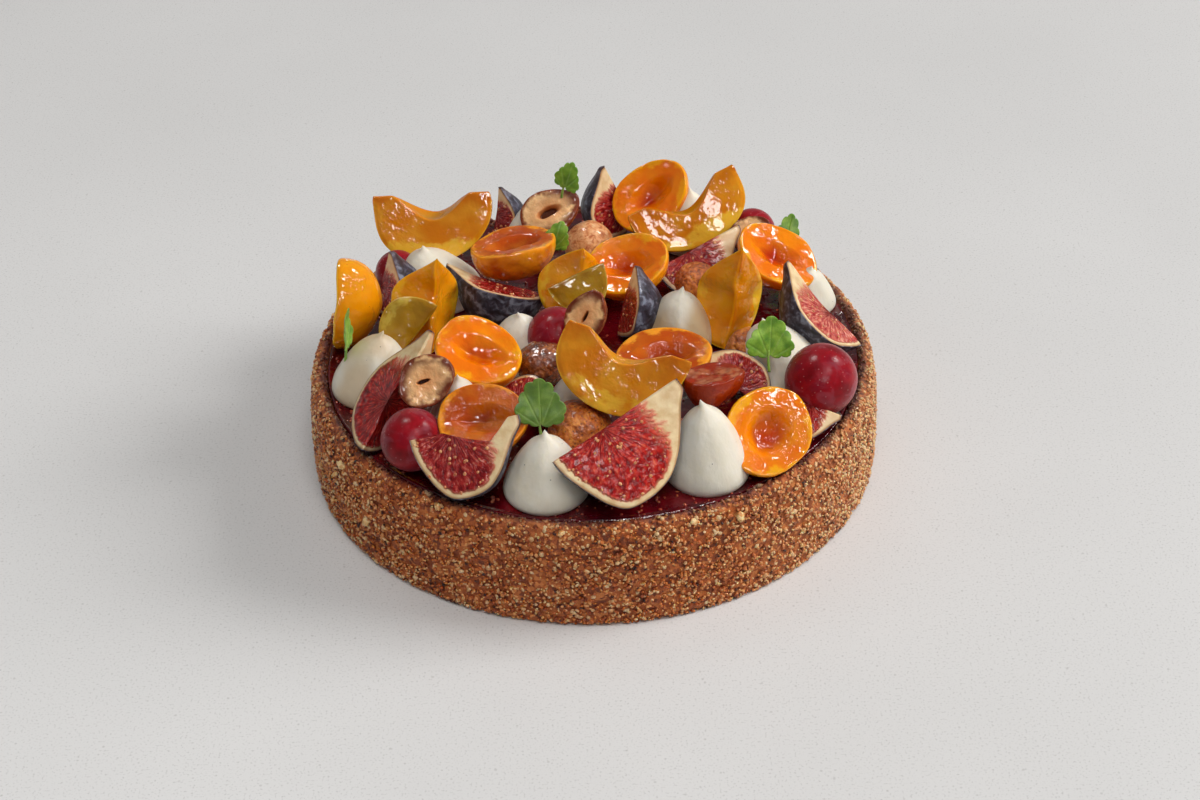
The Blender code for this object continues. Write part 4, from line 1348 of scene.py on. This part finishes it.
@dataclass(frozen=True)
class BakedBall(Topping):
    """A small browned ball of sponge.

    Attributes:
        radius: its radius.
        centre: the centre of its box, where it has no solid.
        glazed: whether it wears a dark glaze.
    """

    radius: float
    centre: Vec | None = None
    glazed: bool = False

    def build(self) -> None:
        """Flattens a ball, roughens it in three sizes of lump and opens pores in it."""
        columns = 112
        ball = globe(0.86, 76, columns)
        at = ball * self.radius
        rough = 0.42 * lumps(at, 4.2, self.bend) + 0.22 * lumps(at, 1.9, self.bend + 1)
        rough += 0.12 * lumps(at, 0.8, self.bend + 2)
        pores = step(lumps(at, 1.5, self.bend + 4), 0.35, 0.8) * 0.55
        points = ball * (self.radius + rough - (0.3 if self.glazed else 1.0) * pores)[:, None]
        self.lay(shell(points, columns), np.eye(3), BallFinish(self.glazed), self.centre)


@dataclass(frozen=True)
class HerbLeaf(Pointed):
    """A fresh leaf with three scalloped lobes on a short stalk.

    Attributes:
        length: with its stalk.
        width: of the blade.
        dark: how dark its green is, from 0 to 1.
        centre: the centre of its box, where it has no solid.
    """

    length: float
    width: float
    dark: float = 0.2
    centre: Vec | None = None

    VEINS = (0.0, 0.42, -0.42, 0.95, -0.95)

    def blade(self) -> Surface:
        """The blade: an outline in polar form, filled by scaled copies of itself, above and below.

        The outline's reach is a mean, three slow lobes and eleven round scallops. The blade lifts towards its
        sides, waves along its length and creases a little along the veins, which fan out from the stalk.
        """
        stem = 0.24 * self.length
        blade = self.length - stem
        heading = np.linspace(0.0, math.tau, 176, endpoint=False)
        scallop = np.abs(np.cos(5.5 * heading + 0.2 * np.sin(2.0 * heading + self.bend))) ** 0.6
        reach = 0.445 + 0.065 * np.cos(3.0 * heading) + 0.07 * scallop
        reach += 0.02 * np.sin(2.0 * heading + self.bend)
        share = np.linspace(0.06, 1.0, 22)[:, None]
        under = np.repeat([[False], [True]], len(share), axis=0)
        share = np.concatenate([share, share[::-1]])
        x = stem + 0.47 * blade + share * reach * np.cos(heading) * blade
        y = share * reach * np.sin(heading) * self.width
        fan = np.arctan2(y, x - stem)[..., None] - np.array(self.VEINS)
        away = (np.hypot(x - stem, y)[..., None] * np.abs(np.sin(fan))).min(axis=-1)
        vein = np.exp(-((away / 0.22) ** 2)) * (1.0 - 0.7 * share**3)
        lift = 2.0 * (y / self.width) ** 2 + 0.7 * np.sin(0.35 * x) * np.maximum(0.0, x - stem) / blade
        lift += 0.30 * lumps(stacked(x, y, 0.0), 3.0, self.bend)
        thick = 0.17 * np.sqrt(1.0 - 0.75 * share**4)
        z = lift + np.where(under, -thick, thick - 0.08 * vein)
        rings = stacked(x - self.length / 2.0, y, z)
        return shell(capped(rings), len(heading), {"leaf_tone": capped(stacked(vein, 0.0, 0.0))})

    def stalk(self) -> Surface:
        """The stalk: a thin round rod carried along a slightly bent line."""
        run = np.linspace(0.0, 1.0, 14)[:, None]
        heading = np.linspace(0.0, math.tau, 12, endpoint=False)
        radius = 0.42 - 0.14 * run
        x = -self.length / 2.0 + run * 0.40 * self.length
        y = radius * np.cos(heading) + 0.4 * np.sin(2.0 * run)
        z = radius * np.sin(heading) - 0.5 * (1.0 - run) ** 2
        points = capped(stacked(x, y, z))
        return shell(points, len(heading), {"leaf_tone": np.tile([0.7, 0.0, 0.0], (len(points), 1))})

    def build(self) -> None:
        """Makes the leaf."""
        whole = joined([self.blade(), self.stalk()])
        whole.points = self.warped(whole.points)
        self.lay(whole, self.turn(), LeafFinish(self.dark), self.centre)


# The crust, the glaze and the pile


class Grain(Enum):
    """A kind of grain on the crust: how many, their least and most size, how flat they lie, and their
    finish."""

    CRUMB = (7800, 0.7, 1.3, 0.62, CrumbFinish(
        ((0.15, (128, 52, 16)), (0.4, (178, 84, 30)), (0.6, (208, 120, 56)), (0.9, (228, 164, 104))),
        0.15, 0.4, 0.2))
    SUGAR = (7600, 0.45, 0.95, 0.8, CrumbFinish(
        ((0.15, (192, 92, 34)), (0.5, (224, 142, 74)), (0.9, (246, 208, 156))), 0.5, 0.12, 0.75))
    NUT = (1500, 0.8, 1.6, 0.5, CrumbFinish(((0.2, (208, 150, 98)), (0.8, (238, 200, 152))), 0.25, 0.45))
    CHIP = (30, 1.7, 3.2, 0.45, CrumbFinish(((0.2, (214, 150, 84)), (0.8, (244, 208, 148))), 0.25, 0.4))
    CHAR = (1300, 0.5, 1.1, 0.6, CrumbFinish(((0.2, (40, 16, 16)), (0.8, (90, 40, 24))), 0.0, 0.35))


@dataclass
class CrustBuilder:
    """The crumbed case.

    Attributes:
        radius: of the wall at its widest.
        height: to the rim.
        rim: where the outside of the rim starts to round over.
        recess: the radius of the recess that holds the glaze.
        floor: the height of the recess's floor.
        taper: how far the wall leans in by the top.
    """

    radius: float = 80.0
    height: float = 31.0
    rim: float = 77.0
    recess: float = 74.4
    floor: float = 25.7
    taper: float = 1.7

    STOPS = ((0.12, (104, 44, 14)), (0.35, (148, 68, 24)), (0.6, (180, 92, 36)), (0.9, (204, 122, 60)))
    NUT_PIECES = ((297.5, 27.4, 3.6), (239.0, 30.4, 2.6), (263.5, 29.8, 2.2))

    def profile(self) -> np.ndarray:
        """The outline from the middle of the recess over the rim to the middle of the base."""
        lip = chain(((self.recess, 29.4), (self.recess + 0.9, 30.8), (self.rim - 1.2, self.height),
                     (self.rim + 0.5, 30.1), (78.3, 28.0)), 22)
        z = np.linspace(27.4, 0.5, 62)
        wall = stacked(self.radius - self.taper * (z / 28.0) ** 3 - 0.5 * step(-z, -1.6, -0.4), z)
        side = self.recess
        inside = [[0.0, self.floor], [side - 3.0, self.floor], [side, self.floor], [side, 27.6]]
        foot = [[78.6, 0.05], [76.0, 0.0], [40.0, 0.0], [0.0, 0.0]]
        return np.concatenate([inside, lip, wall, foot])

    def body(self) -> None:
        """Turns the outline about Z and roughens the wall and rim in three sizes of lump."""
        columns = 900
        points = spun(self.profile(), columns)
        radius = np.maximum(np.hypot(points[:, 0], points[:, 1]), 1.0)
        outside = step(radius, self.recess + 0.2, self.recess + 1.0) * step(points[:, 2], 0.0, 0.8)
        rough = 0.42 * lumps(points, 3.4, 1) + 0.38 * lumps(points, 1.4, 2) + 0.16 * lumps(points, 0.75, 3)
        points[:, :2] *= (1.0 + outside * (rough - 0.1) / radius)[:, None]
        points[:, 2] += step(points[:, 2], 29.4, 30.6) * outside * rough * 0.8
        shell(points, columns).piece("crust_fine", CrumbFinish(self.STOPS, 0.0, 0.65), ("crust",))

    def grains(self) -> None:
        """Strews grains evenly over the wall and the rim, each sunk by about a third, and none below the
        base."""
        line = self.profile()[4:-3]
        run = run_along(line)
        tangent = np.gradient(line, run, axis=0)
        for seed, kind in enumerate(Grain):
            count, least, most, flatness, finish = kind.value
            rng = np.random.default_rng(40 + seed)
            along = rng.uniform(0.6, run[-1], count)
            heading = rng.uniform(0.0, math.tau, count)
            radius, height, dr, dz = (
                np.interp(along, run, a[:, i]) for a in (line, tangent) for i in range(2)
            )
            out = unit(stacked(-dz * np.cos(heading), -dz * np.sin(heading), dr))
            size = rng.uniform(least, most, (count, 1))
            sizes = size * rng.uniform(0.7, 1.15, (count, 3)) * [1.0, 1.0, flatness]
            at = stacked(radius * np.cos(heading), radius * np.sin(heading), height)
            at += out * (0.10 + 0.16 * sizes[:, 2:])
            at[:, 2] = np.maximum(at[:, 2], 0.54 * sizes.max(axis=1))
            parts = [
                scattered(shard(seed * 7 + k), tumbled(rng, out[part], 0.45), sizes[part], at[part])
                for k, part in enumerate((slice(0, count // 2), slice(count // 2, None)))
            ]
            joined(parts).piece(f"crust_{kind.name.lower()}_grains", finish, flat=True)

    def nut_pieces(self) -> None:
        """Presses the three largest bits of nut onto the front, each at its heading, height and size."""
        heading, height, size = np.array(self.NUT_PIECES).T
        heading = np.radians(heading)
        out = stacked(np.cos(heading), np.sin(heading), 0.0)
        at = out * (79.4 - 0.35 * (height - 27.0))[:, None] + stacked(0.0, 0.0, height)
        turns = tumbled(np.random.default_rng(50), out, 0.3)
        pieces = scattered(shard(9), turns, np.outer(size, [1.0, 0.75, 0.55]), at)
        pieces.piece("crust_nut_pieces", Grain.CHIP.value[-1], flat=True)

    def build(self) -> None:
        """Makes the case and its coat."""
        self.body()
        self.grains()
        self.nut_pieces()


@dataclass
class GlazeBuilder:
    """The berry glaze.

    Attributes:
        edge: its radius.
        low: the height of its underside.
        seeds: how many seeds lie in it.
    """

    edge: float = 74.0
    low: float = 26.0
    seeds: int = 620

    STOPS = ((0.3, (120, 24, 20)), (0.5, (170, 62, 34)), (0.7, (206, 120, 66)))

    def body(self) -> None:
        """Turns a flat outline that climbs the rim a little, and lifts it in slow lumps."""
        columns = 420
        edge, low = self.edge, self.low
        radii = np.concatenate([np.linspace(0.0, edge - 3.0, 74), np.linspace(edge - 2.4, edge, 9)])
        upper = stacked(radii, GLAZE_TOP - 0.1 + 0.55 * step(radii, edge - 2.2, edge))
        lower = [[edge + 0.15, 29.2], [edge, low], [edge * 0.5, low], [0.0, low]]
        points = spun(np.concatenate([upper, lower]), columns)
        top = points[:-2][points[:-2, 2] > GLAZE_TOP - 0.6]
        points[: len(top), 2] += 0.22 * lumps(top, 9.0, 5) + 0.10 * lumps(top, 3.2, 6)
        shell(points, columns).piece("berry_glaze_fine", GlazeFinish(), ("berry_glaze",))

    def build(self) -> None:
        """Makes the glaze, and strews seeds in it, half of them near its edge."""
        self.body()
        rng = np.random.default_rng(12)
        count, near = self.seeds, self.seeds // 2
        radius = self.edge * np.sqrt(rng.uniform(0.0, 1.0, count))
        radius[:near] = self.edge - rng.uniform(0.4, 8.0, near)
        heading = rng.uniform(0.0, math.tau, count)
        height = GLAZE_TOP - 0.12 + rng.uniform(-0.15, 0.1, count)
        at = stacked(radius * np.cos(heading), radius * np.sin(heading), height)
        sizes = rng.uniform(0.8, 1.1, (count, 1)) * [1.25, 0.85, 0.8]
        turns = tumbled(rng, np.tile([0.0, 0.0, 1.0], (count, 1)), 0.2)
        scattered(bead(3, 7), turns, sizes, at).piece("glaze_seeds", SeedFinish(self.STOPS, "berry_glaze"))


def series(kind: type[Topping], stem: str, first: int, *rows: tuple) -> list[Topping]:
    """Toppings of one kind.

    Args:
        kind: their class.
        stem: the name that they share before the number.
        first: the first one's number.
        rows: what each has after its name, in the order of its class's attributes.

    Returns:
        The toppings, numbered in order.
    """
    return [kind(f"{stem}_{number:02d}", *row) for number, row in enumerate(rows, first)]


@dataclass
class PileBuilder:
    """Everything that lies on the glaze.

    Attributes:
        seed: of the random draws for the figs' seeds.
    """

    seed: int = 5

    STOPS = ((0.3, (170, 84, 44)), (0.5, (206, 130, 78)), (0.7, (232, 178, 120)))

    def creams(self) -> list[Topping]:
        """The cream kisses."""
        return series(
            CreamKiss, "cream", 1,
            (0, -60.3, -14.5, 11.8, 18.0, 3.0, 1.5, 0.6),
            (1, -45.0, 32.0, 13.5, 16.0, -4.0, 0.0),
            (2, -12.5, -60.8, 11.4, 18.5, 0.5, 0.5),
            (3, 29.0, -55.0, 11.4, 23.0, -1.0, 0.5),
            (4, -20.5, -5.0, 10.5, 18.0, 1.0, 0.0),
            (5, -35.5, -36.0, 9.0, 20.0),
            (6, -4.5, -30.0, 9.5, 15.0),
            (7, 24.5, 6.0, 10.5, 17.0, 0.5, 0.0, 0.85),
            (8, 51.5, -12.5, 13.0, 17.5, -5.0, 1.0),
            (9, 29.5, 57.0, 9.4, 18.0, 1.5, 1.5),
            (10, -17.0, 59.0, 9.0, 14.0),
            (11, -3.0, 31.0, 8.5, 15.0, 0.0, 0.0, 0.0, True),
            (12, 62.5, 22.0, 8.5, 13.0, 0.0, 0.0, 0.0, True),
        )

    def rounds(self) -> list[Topping]:
        """The grapes and the baked balls; those with a centre have no solid."""
        return [
            *series(Grape, "grape", 1, (35, 9.7), (48, 8.2), (25, 8.0), (7, 7.0)),
            *series(BakedBall, "baked_ball", 1, (41, 6.8, None, True), (46, 8.4), (32, 6.8)),
            *series(Grape, "grape", 5, (60, 6.5, (-56.6, 34.4, 36.0))),
            *series(BakedBall, "baked_ball", 4, (61, 6.5, (30.6, 23.2, 37.0)), (62, 6.0, (5.5, 27.5, 36.5)),
                    (63, 5.5, (-50.5, 31.5, 36.0))),
        ]

    def figs(self) -> list[Topping]:
        """The fig wedges."""
        return series(
            FigWedge, "fig_wedge", 1,
            (43, (0.57, 0.6, 0.45), (-0.62, -0.2, 0.75), 1, 36.0, 14.0, 62.0, 0.0, 0.0),
            (51, (0.97, 0.1, 0.17), (-0.18, -0.76, 0.62), -1, 29.0, 18.0, 42.0, 6.0),
            (55, (0.84, 0.4, 0.36), (0.22, -0.76, 0.62), -1, 38.0, 21.5, 55.0, 0.0, 0.8),
            (18, (-0.88, 0.3, 0.32), (0.3, 0.3, 0.9), 1, 30.0, 14.0, 70.0, 0.0),
            (16, (0.28, 0.05, 0.95), (-0.8, -0.55, 0.2), -1, 20.0, 12.0, 70.0, 0.0),
            (1, (0.1, 0.15, 0.95), (-0.7, -0.7, 0.2), -1, 15.0, 9.0, 70.0, 0.0),
            (4, (-0.4, 0.06, 0.9), (0.62, -0.7, 0.3), 1, 22.0, 14.0, 70.0, 0.0),
            (14, (0.88, 0.38, 0.28), (0.1, -0.7, 0.7), -1, 28.0, 13.0, 60.0, 0.0),
            (26, (0.2, 0.25, 0.9), (-0.9, -0.25, 0.3), -1, 21.0, 12.0, 65.0, 0.0),
            (30, (-0.64, 0.46, 0.62), (0.72, -0.15, 0.85), 1, 31.0, 14.0, 60.0, 0.0, 1.0),
            (36, (-0.85, 0.45, 0.15), (0.2, -0.55, 0.8), -1, 25.0, 11.0, 50.0, 0.0),
            (42, (0.46, -0.89, 0.15), (-0.3, -0.3, 0.9), 1, 19.0, 9.0, 55.0, 0.0),
            (37, (0.84, -0.38, -0.1), (0.2, -0.75, 0.62), -1, 15.0, 9.5, 60.0, 0.0),
        )

    def slices(self) -> list[Topping]:
        """The plum slices."""
        gold, olive, amber = PlumTint.GOLD, PlumTint.OLIVE, PlumTint.AMBER
        return series(
            PlumSlice, "plum_slice", 1,
            (10, (0.99, 0.13, -0.06), (-0.05, -0.85, 0.53), -1, 35.0, 20.5, 50.0, 0.38, gold, 0.45),
            (12, (0.9, 0.25, 0.34), (0.05, -0.8, 0.58), -1, 35.0, 18.0, 45.0, 0.42, gold, -0.3, 0.75),
            (47, (0.9, -0.42, -0.12), (-0.1, -0.8, 0.6), -1, 34.0, 20.0, 36.0, 0.32, gold, 0.45),
            (29, (0.57, 0.1, 0.8), (-0.1, -0.85, 0.5), 1, 20.0, 11.5, 60.0, 0.0, olive, 0.4, 1.3),
            (22, (0.84, -0.1, 0.45), (0.1, -0.85, 0.5), -1, 17.0, 11.0, 45.0, 0.0, olive, 0.4, 1.2),
            (27, (0.16, 0.25, 0.95), (-0.62, -0.72, 0.3), 1, 30.0, 13.2, 92.0, 0.0, amber, 0.9, 2.6),
            (28, (0.1, 0.25, 0.95), (-0.4, -0.85, 0.3), 1, 28.0, 14.0, 90.0, 0.0, amber, 0.9, 2.6),
            (21, (0.1, 0.2, 0.96), (-0.48, -0.82, 0.3), 1, 23.0, 13.0, 90.0, 0.0, amber, 0.9, 2.4),
        )

    def halves(self) -> list[Topping]:
        """The plum halves."""
        orange, russet, amber = PlumTint.ORANGE, PlumTint.RUSSET, PlumTint.AMBER
        return series(
            PlumHalf, "plum_half", 1,
            (23, (0.05, 0.08, 0.99), (-0.98, 0.0, 0.1), 26.0, 20.0, 12.0, amber, 0.5, 0.1),
            (19, (0.97, 0.22, 0.1), (-0.08, 0.15, 0.98), 25.0, 20.5, 11.5, russet),
            (45, (0.93, -0.3, -0.1), (0.1, -0.4, 0.9), 23.5, 20.0, 9.5, orange, 0.3),
            (50, (0.99, 0.0, 0.05), (-0.08, -0.45, 0.88), 23.5, 20.5, 9.5, russet, 1.0),
            (15, (0.95, -0.15, -0.05), (-0.25, -0.38, 0.88), 24.5, 20.5, 9.5, orange, 0.6),
            (6, (0.78, 0.4, 0.45), (-0.32, -0.62, 0.72), 25.5, 20.0, 10.0),
            (17, (0.9, -0.35, -0.2), (0.32, -0.35, 0.88), 25.0, 20.5, 10.0, orange, 0.7),
            (38, (0.98, 0.15, 0.05), (0.0, -0.05, 1.0), 26.0, 21.0, 11.0, russet),
            (56, (0.2, 0.45, 0.85), (0.14, -0.62, 0.76), 24.0, 22.5, 9.5, orange, 1.1, 0.0, 1.0),
        )

    def nuts(self) -> list[Topping]:
        """The hazelnuts."""
        return series(
            Hazelnut, "hazelnut", 1,
            (49, (0.85, 0.35, 0.2), (0.0, -0.8, 0.6), 14.5, 13.5, 7.0),
            (2, (0.8, 0.3, 0.4), (-0.1, -0.6, 0.8), 17.5, 14.5, 8.0, NutCoat.TOASTED, (0.44, 0.22)),
            (13, (0.9, 0.2, 0.1), (0.05, 0.1, -0.99), 14.5, 14.0, 7.5, NutCoat.PEELED),
            (31, (0.45, 0.5, 0.75), (-0.35, -0.75, 0.55), 14.0, 11.5, 6.5),
            (39, (0.97, 0.1, 0.05), (0.05, 0.1, 0.99), 15.0, 12.0, 9.0, NutCoat.CARAMEL),
            (8, (0.8, 0.3, 0.4), (-0.2, -0.6, 0.75), 12.0, 10.5, 6.0),
        )

    def leaves(self) -> list[Topping]:
        """The herb leaves; those with a centre have no solid."""
        return series(
            HerbLeaf, "leaf", 1,
            (57, (-0.02, 0.3, 0.95), (0.05, -0.9, 0.3), 16.0, 12.5, 0.6),
            (54, (0.05, 0.35, 0.93), (0.05, -0.9, 0.35), 15.0, 12.0, 0.0),
            (5, (0.35, 0.1, 0.93), (-0.3, -0.9, 0.2), 12.0, 7.5),
            (9, (0.2, 0.2, 0.95), (-0.1, -0.9, 0.3), 15.0, 8.0),
            (64, (0.1, 0.2, 0.95), (0.97, -0.2, -0.1), 15.0, 8.0, 0.2, (-66.4, -13.4, 47.0)),
            (65, (0.3, 0.2, 0.9), (-0.3, -0.9, 0.2), 11.0, 8.0, 0.2, (-10.1, 31.9, 47.0)),
        )

    def build(self) -> None:
        """Makes every topping, and then the seeds of all the figs as one piece."""
        for kind in (self.creams, self.rounds, self.slices, self.halves, self.nuts, self.leaves):
            for topping in kind():
                topping.build()
        rng = np.random.default_rng(self.seed)
        at, looks = (np.concatenate(parts) for parts in zip(*(fig.build(rng) for fig in self.figs())))
        sizes = rng.uniform(0.55, 1.0, (len(at), 1)) * [1.15, 0.95, 0.6]
        seeds = scattered(bead(4, 8), tumbled(rng, looks, 0.25), sizes, at)
        seeds.piece("fig_seeds", SeedFinish(self.STOPS, "fig"))


# The setting


@dataclass
class Studio:
    """The stone floor, the lights and the camera.

    Attributes:
        floor_size: the side of the floor, in metres.
        camera: where the camera stands, in metres.
        target: what it looks at.
        roll: how far it is turned about its line of sight, in degrees.
        lens: its focal length for a 36 mm wide picture.
    """

    floor_size: float = 4.0
    camera: Vec = (0.00176, -0.45922, 0.35534)
    target: Vec = (0.00176, 0.01748, 0.0)
    roll: float = -1.401
    lens: float = 60.0

    LIGHTS = (("key", (3.4, 0.4, 2.25), 2.0, 132.0), ("top", (0.2, -1.2, 3.0), 1.6, 47.0))
    GLEAMS = (
        ("gleam_right", (1.4, 0.7, 1.6), 0.46, 22.0), ("gleam_back", (-0.6, 0.9, 1.9), 0.42, 17.0),
        ("gleam_front", (0.4, -1.7, 1.5), 0.44, 14.0), ("gleam_top", (0.9, -0.9, 2.2), 0.4, 15.0),
    )
    AIM = (0.0, 0.0, 0.03)

    def floor(self) -> None:
        """Lays the floor just under the tart."""
        half = self.floor_size / 2.0
        mesh = bpy.data.meshes.new("floor")
        corners = [(x * half, y * half, 0.0) for x, y in ((-1, -1), (1, -1), (1, 1), (-1, 1))]
        mesh.from_pydata(corners, [], [(0, 1, 2, 3)])
        mesh.materials.append(StoneFinish().material())
        floor = bpy.data.objects.new("floor", mesh)
        bpy.context.scene.collection.objects.link(floor)

    def lamp(self, name: str, at: Vec, size: float, power: float, gleam: bool) -> None:
        """Hangs a square soft light that looks at the tart.

        Args:
            name: its name.
            at: where it hangs, in metres.
            size: its side, in metres.
            power: in watts.
            gleam: whether it only shows where wet surfaces mirror it; the others light all but mirrors.
        """
        data = bpy.data.lights.new(name, "AREA")
        data.shape = "SQUARE"
        data.size = size
        data.energy = power
        data.color = (1.0, 0.99, 0.975)
        lamp = bpy.data.objects.new(name, data)
        lamp.visible_glossy = gleam
        lamp.visible_diffuse = not gleam
        lamp.location = at
        lamp.rotation_euler = (Vector(self.AIM) - Vector(at)).to_track_quat("-Z", "Y").to_euler()
        bpy.context.scene.collection.objects.link(lamp)

    def lights(self) -> None:
        """A soft key from the right, a broad light from above, four gleams that only the wet fruit mirrors,
        and a dim even room."""
        for lamps, gleam in ((self.LIGHTS, False), (self.GLEAMS, True)):
            for lamp in lamps:
                self.lamp(*lamp, gleam)
        world = bpy.data.worlds.new("room")
        world.use_nodes = True
        room = world.node_tree.nodes["Background"]
        room.inputs["Color"].default_value = (0.98, 0.99, 1.0, 1.0)
        room.inputs["Strength"].default_value = 0.18
        bpy.context.scene.world = world

    def eye(self) -> None:
        """Sets up the camera at the photograph's viewing angle."""
        data = bpy.data.cameras.new("camera")
        data.lens = self.lens
        data.sensor_width = 36.0
        camera = bpy.data.objects.new("camera", data)
        ahead = (Vector(self.target) - Vector(self.camera)).normalized()
        right = ahead.cross(Vector((0.0, 0.0, 1.0))).normalized()
        level = Matrix((right, right.cross(ahead), -ahead)).transposed()
        turn = Matrix.Rotation(math.radians(self.roll), 3, "Z")
        camera.matrix_world = Matrix.Translation(self.camera) @ (level @ turn).to_4x4()
        bpy.context.scene.collection.objects.link(camera)
        bpy.context.scene.camera = camera

    def build(self) -> None:
        """Sets the whole stage."""
        self.floor()
        self.lights()
        self.eye()
        bpy.context.scene.view_settings.view_transform = "Standard"


def main() -> None:
    """Builds the tart's sub-assemblies in order, sets the stage, and notes the sizes."""
    logging.basicConfig(level=logging.INFO, format="%(name)s: %(message)s")
    for builder in (CrustBuilder(), GlazeBuilder(), PileBuilder(), Studio()):
        builder.build()
        LOG.info("%s is done", type(builder).__name__)
    bpy.context.view_layer.update()


if __name__ == "__main__":
    main()
